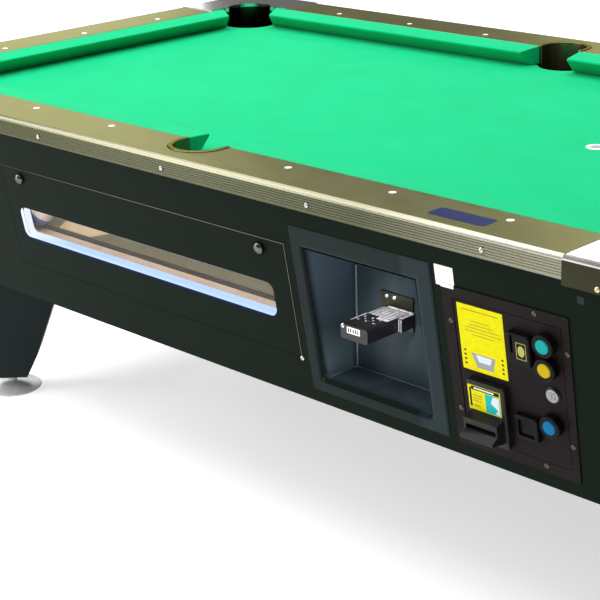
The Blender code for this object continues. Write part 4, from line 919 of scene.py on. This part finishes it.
# lock: a dark washer under its rim
washerFacts = {"steps": ((14.2, 0), (14.2, 1.6), (13.2, 2.2)), "hole": ((11.8, -2), (11.8, 6)), "sides": 36,
               "place": (843.7, -2.6, 177.1)}
washer = cutBy(*[drawnUp(washerFacts[shape], washerFacts["sides"]) for shape in ("steps", "hole")])
dressed(moved(washer, washerFacts["place"], facing), "lockWasher", "black", *onPayPlastic)
print("pay panel dressed")

# ball door: bright edging along its top and right edges, with a rivet at the lower end
edgeFacts = {"left": -541, "right": 287.2, "low": 86, "high": 309.2, "wide": 0.9, "proud": 0.5,
             "rivetSunk": -0.3, "rivetDrop": 3}
left, right, low, high = [edgeFacts[side] for side in ("left", "right", "low", "high")]
inner = high - edgeFacts["wide"]
edging = [onPanel((left, inner), (right, high), -edgeFacts["proud"], 0),
          onPanel((right - edgeFacts["wide"], low), (right, inner), -edgeFacts["proud"], 0)]
dressed(joined(edging), "doorEdging", "edging", slot="trim_aluminium")
rivet = screwAt((right, edgeFacts["rivetSunk"], low - edgeFacts["rivetDrop"]), facing)
dressed(rivet, "doorRivet", "brightSteel", slot="zinc")

# the window's lit lip at its left and lower edges, and the dark seal round it
lipFacts = {"low": 155, "high": 220, "corner": 14, "short": 0.5, "past": 30, "through": 3,
            "rims": {"windowLip": {"reach": 4.0, "under": 1.6, "proud": 0.5, "corner": 15, "inward": 5.4,
                                   "finish": "glowLip", "slot": "light_diffuser"},
                     "windowSeal": {"reach": 7.6, "under": 7.4, "proud": 0.3, "corner": 17, "inward": -0.5,
                                    "finish": "navy", "slot": "black_plastic"}}}
left, right = [end.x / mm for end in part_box("light_strip")]
low, high, short, past = [lipFacts[fact] for fact in ("low", "high", "short", "past")]
for name, rim in lipFacts["rims"].items():
    inward = rim["inward"]
    outer = onPanel((left - rim["reach"], low - rim["under"]), (right - short, high - short),
                    -rim["proud"], 0, rim["corner"])
    opening = onPanel((left + inward, low + inward), (right + past, high + past),
                      -lipFacts["through"], lipFacts["through"], lipFacts["corner"] - inward)
    dressed(cutBy(outer, opening), name, rim["finish"], slot=rim["slot"])

# the tray behind the window: a black strip in the slot as painted shadow, a grey board rising behind it and a
# pale ramp whose paleness is painted light
trayFacts = {
    "left": -541.5, "right": 287.5, "slot": (48.6, 60.8), "feltV": (143, 150.8), "feltRound": 0.6,
    "boardD": (57.6, 109.9), "boardV": (149, 165), "boardFrom": 61.2, "boardLift": 0.2, "boardThick": 0.8,
    "ramp": ((-470, 61.6), (-371, 61.6), (-333, 82), (-318, 109.6), (-470, 109.6)), "rampLift": 1.1,
    "rampThick": 3.0}


def boardHeight(depth):
    (near, far), (low, high) = trayFacts["boardD"], trayFacts["boardV"]
    return low + (high - low) * (depth - near) / (far - near)


def onBoard(corners, lift, thick):
    return drawnPlate([(x, depth, boardHeight(depth) + lift) for x, depth in corners], (0, 0, thick))


left, right, near, far = trayFacts["left"], trayFacts["right"], trayFacts["boardFrom"], trayFacts["boardD"][1]
shadeLow, shadeHigh = zip((left, right), trayFacts["slot"], trayFacts["feltV"])
# the black strip stands in for the shade in the slot: painted shadow
dressed(block(shadeLow, shadeHigh, trayFacts["feltRound"]), "traySlotFelt", "felt", slot="beech")
corners = [(left, near), (right, near), (right, far), (left, far)]
board = onBoard(corners, trayFacts["boardLift"], trayFacts["boardThick"])
dressed(board, "trayBoard", "boardGrey", slot="beech")
# the pale ramp stands in for light falling on the board: painted light
ramp = onBoard(trayFacts["ramp"], trayFacts["rampLift"], trayFacts["rampThick"])
dressed(ramp, "inletRamp", "rampPly", slot="beech")

# a striped ball lying in the slot at the left end of the window
ballFacts = {
    "radius": 28.57, "place": (-513, 52.8, 177.4), "turn": (0.5, 0.35, 0.2), "levels": 5, "smooth": 80}
reach = ballFacts["radius"]
ball = block((-reach, -reach, -reach), (reach, reach, reach))
modify(ball, "SUBSURF", levels=ballFacts["levels"], render_levels=ballFacts["levels"])
modify(ball, "CAST", cast_type="SPHERE", factor=1.0, size=reach * mm)
ball = moved(moved(ball, turn=ballFacts["turn"]), ballFacts["place"])
dressed(ball, "trayBall", "ballBlue", slot="clear_pane", smooth=ballFacts["smooth"])
print("window dressed")

# pale beads along the tub's inner corners, where its walls meet: painted highlights
seamFacts = {
    "backY": -525.01, "near": 0.3, "wide": 2.4, "past": 0.5, "sunk": 0.2, "lowProud": 0.8, "lowHigh": 0.6,
    "round": 0.5, "lowRound": 0.2, "sideThick": 0.5,
    "side": (
        (350.2, -525.2, 441.15), (333.8, -595.5, 434.9), (335.6, -595.5, 434.9), (352.2, -525.2, 441.15))}
backY, wide = seamFacts["backY"], seamFacts["wide"]
corners = [corner.co / mm for corner in nodes["coin_recess"].data.vertices]
backWall = [corner for corner in corners if abs(corner.y - backY) < seamFacts["near"]]
left, right = [pick(corner.x for corner in backWall) for pick in (min, max)]
low, high = [pick(corner.z for corner in backWall) for pick in (min, max)]
behind = backY - seamFacts["sunk"]
tubSeams = [
    block((left - seamFacts["past"], backY - wide, low), (left + wide, behind, high), seamFacts["round"]),
    block(
        (left, backY - seamFacts["lowProud"], low), (right, behind, low + seamFacts["lowHigh"]),
        seamFacts["lowRound"]),
    drawnPlate(seamFacts["side"], (0, 0, seamFacts["sideThick"]))]
finished(joined(tubSeams), "tubSeams", finishes["tubBead"], slot="recess_plastic")

# coin slide: chrome strips between the coin slots, short dashes before them and a strip by two edges, all
# painted white with dark specks as painted glints
slideFacts = {
    "left": 416.5, "right": 477.5, "top": 573.0, "sunk": 0.2, "proud": 0.25, "slots": 6, "slotWide": 2.0,
    "margin": 3.4, "rackY": (-572, -530.5), "dashY": (-606, -597, -588), "dash": (2.2, 4.5),
    "edges": ((417.5, -614, 420.5, -573.5), (448.5, -583.5, 474.1, -573.5)), "edgeRound": 0.12}
slidePlace = ("coin_slide", "slide_metal")
left, top, slots = slideFacts["left"], slideFacts["top"], slideFacts["slots"]
pitch = (slideFacts["right"] - left) / (slots + 1)


def slideStrip(lowX, lowY, highX, highY, edgeWidth=0):
    return block((lowX, lowY, top - slideFacts["sunk"]), (highX, highY, top + slideFacts["proud"]), edgeWidth)


strips = [slideStrip(*edge, slideFacts["edgeRound"]) for edge in slideFacts["edges"]]
nearY, farY = slideFacts["rackY"]
for step in range(slots + 1):
    start = left + step * pitch + (slideFacts["slotWide"] / 2 if step else slideFacts["margin"])
    end = left + (step + 1) * pitch - (slideFacts["slotWide"] / 2 if step < slots else slideFacts["margin"])
    strips.append(slideStrip(start, nearY, end, farY))
wide, long = slideFacts["dash"]
for row, y in enumerate(slideFacts["dashY"]):
    for step in range(1 + row % 2, slots, 2):
        x = left + step * pitch
        strips.append(slideStrip(x, y, x + wide, y + long))
finished(joined(strips), "slideStrips", finishes["ribSteel"], *slidePlace)

# a blank plate on the slide's front, with plain bars, and rivets on its top and front
tagFacts = {
    "frontY": -637.0, "low": (431, 559), "high": (460.5, 570.4), "proud": 0.4, "sunk": 0.1, "round": 0.15,
    "bars": (433.5, 438.5, 444.5, 449.5, 455), "barWide": 2.6, "barInset": 2.2, "barProud": 0.55,
    "barRound": 0.05, "rivets": ((428, -606), (447, -600), (466, -606)), "rivetSunk": 1.75,
    "frontRivet": (421, 569), "frontSunk": 1.4}
frontY, (left, low), (right, high) = tagFacts["frontY"], tagFacts["low"], tagFacts["high"]
tagFace = frontY - tagFacts["proud"]
tag = block((left, tagFace, low), (right, frontY + tagFacts["sunk"], high), tagFacts["round"])
finished(tag, "slideTag", finishes["whiteLabel"], *slidePlace)
tagBars = []
for x in tagFacts["bars"]:
    tagBars.append(block(
        (x, frontY - tagFacts["barProud"], low + tagFacts["barInset"]),
        (x + tagFacts["barWide"], tagFace, high - tagFacts["barInset"]), tagFacts["barRound"]))
finished(joined(tagBars), "slideTagBars", finishes["blackInk"], *slidePlace)
rivets = [screwAt((x, y, top - tagFacts["rivetSunk"])) for x, y in tagFacts["rivets"]]
x, z = tagFacts["frontRivet"]
rivets.append(screwAt((x, frontY + tagFacts["frontSunk"], z), facing))
finished(joined(rivets), "slideRivets", finishes["chrome"], *slidePlace)

# a fixed guide beside the slide with a bright top and two ribs, and a rim over the mouth, the bright parts
# painted white as painted glints
guideFacts = {
    "low": (478.6, -561, 549.5), "high": (487, -529.2, 573.5), "round": (1.2, 3), "top": 1.1, "topIn": 0.2,
    "topBack": 1.5, "topRound": 0.4, "ribs": (479.4, 484.2), "ribWide": 1.8, "ribProud": 0.6, "ribDeep": 0.4,
    "ribInset": 1.2, "ribRound": 0.25, "rimLow": (430, -532.4, 574.5), "rimHigh": (486.6, -529.1, 577.0),
    "rimRound": (0.9, 4)}
low, high = [Vector(guideFacts[end]) for end in ("low", "high")]
guide = block(low, high, *guideFacts["round"])
finished(guide, "slideGuide", finishes["slideBlack"], slot="slide_metal")
topIn, inset = guideFacts["topIn"], guideFacts["ribInset"]
bright = [block((low.x + topIn, low.y + guideFacts["topBack"], high.z),
                (high.x - topIn, high.y, high.z + guideFacts["top"]), guideFacts["topRound"]),
          block(guideFacts["rimLow"], guideFacts["rimHigh"], *guideFacts["rimRound"])]
for x in guideFacts["ribs"]:
    bright.append(block((x, low.y - guideFacts["ribProud"], low.z + inset),
                        (x + guideFacts["ribWide"], low.y + guideFacts["ribDeep"], high.z - inset),
                        guideFacts["ribRound"]))
finished(joined(bright), "slideGuideRibs", finishes["ribSteel"], slot="slide_metal")

# two screws in the mechanism's plate
plateFacts = {"screwX": (424, 441), "screwY": -528.5, "screwZ": 593.5}
plateScrews = [screwAt((x, plateFacts["screwY"], plateFacts["screwZ"]), facing)
               for x in plateFacts["screwX"]]
finished(joined(plateScrews), "mechanismScrews", finishes["chrome"], slot="chrome")
bpy.data.objects.remove(screw)
print("coin slide dressed")

# floor, camera and studio light, with the focal length and the frame in the photograph's pixels
photoView = {
    "focal": 1611.2, "frame": 600, "sensor": 36, "yaw": 0.788837, "pitch": 0.349276, "roll": -0.029456,
    "place": (2.16859, -2.47171, 1.53957)}
floorFacts = {
    "size": 40.0, "light": (0.93, 0.93, 0.93), "pale": (0.96, 0.96, 0.96), "mottle": 0.9, "glow": 0.55}
skyFacts = {"light": (1.0, 1.0, 1.0), "force": 0.22}
# each lamp's place, what it points at, its size and its power
lamps = {"topPanel": ((-1.5, -0.4, 4.2), (-1.5, -0.4, 0), 6.4, 400),
         "leftPanel": ((-5.3, 2.6, 2.2), (-0.3, -0.6, 0.8), 2.4, 60),
         "farPanel": ((-1.69, 4.5, 2.72), (0.9, -0.6, 0.8), 1.8, 45),
         "keyPanel": ((-3.2, -3.4, 2.45), (0.0, -0.6, 0.8), 3.0, 120),
         "sidePanel": ((3.6, -3.0, 1.6), (0.4, -0.6, 0.5), 1.6, 14),
         "lowPanel": ((-2.6, -3.1, 0.55), (-0.8, -0.5, 0.1), 0.8, 12),
         "slideSpot": ((0.50, -0.74, 0.70), (0.448, -0.562, 0.573), 0.05, 0.035)}
slideSpread = math.radians(34)
tubeFacts = {
    "ends": ((-535, 30, 226), (280, 30, 226)), "aim": (-127, 75, 155), "wide": 20 * mm, "force": 0.28,
    "light": (1.0, 0.97, 0.93)}


def lampAt(name, place, target, size, force):
    bpy.ops.object.light_add(type="AREA", location=place)
    lamp = bpy.context.object
    lamp.name = name
    lamp.data.size = size
    lamp.data.energy = force
    lamp.rotation_euler = (Vector(target) - lamp.location).to_track_quat("-Z", "Y").to_euler()
    return lamp


bpy.ops.object.select_all(action="DESELECT")
bpy.ops.mesh.primitive_plane_add(size=floorFacts["size"], location=(0, 0, 0))
floor = bpy.context.object
floor.name = "studioFloor"
paint = Paint("paleFloor", Roughness=0.7, Specular_IOR_Level=0.0, Emission_Color=floorFacts["light"],
              Emission_Strength=floorFacts["glow"])
mottle = paint.noise(floorFacts["mottle"], detail=2)
paint.set(Base_Color=paint.shade(mottle, floorFacts["light"], floorFacts["pale"]))
floor.data.materials.append(paint.material)

world = bpy.data.worlds.new("studioSky")
world.use_nodes = True
sky = world.node_tree.nodes["Background"]
sky.inputs["Color"].default_value = (*skyFacts["light"], 1)
sky.inputs["Strength"].default_value = skyFacts["force"]
bpy.context.scene.world = world
bpy.context.scene.view_settings.view_transform = "Standard"
studioLamps = {name: lampAt(name, *facts) for name, facts in lamps.items()}

# the small spot on the coin slide is narrow and out of the camera's sight
studioLamps["slideSpot"].data.spread = slideSpread
studioLamps["slideSpot"].visible_camera = False

# the tube behind the ball door, above the window, lights the tray
left, right, target = [faceHome @ Vector(metres(place)) for place in (*tubeFacts["ends"], tubeFacts["aim"])]
tube = lampAt("trayTube", (left + right) / 2, target, (right - left).length, tubeFacts["force"])
tube.data.shape = "RECTANGLE"
tube.data.size_y = tubeFacts["wide"]
tube.data.color = tubeFacts["light"]

bpy.ops.object.camera_add(location=photoView["place"])
camera = bpy.context.object
camera.rotation_mode = "XYZ"
tilt = Matrix.Rotation(quarter - photoView["pitch"], 4, "X")
turned = Matrix.Rotation(photoView["yaw"], 4, "Z") @ tilt @ Matrix.Rotation(photoView["roll"], 4, "Z")
camera.rotation_euler = turned.to_euler()
camera.data.sensor_width = photoView["sensor"]
camera.data.lens = photoView["focal"] / photoView["frame"] * photoView["sensor"]
bpy.context.scene.camera = camera
print("studio set")
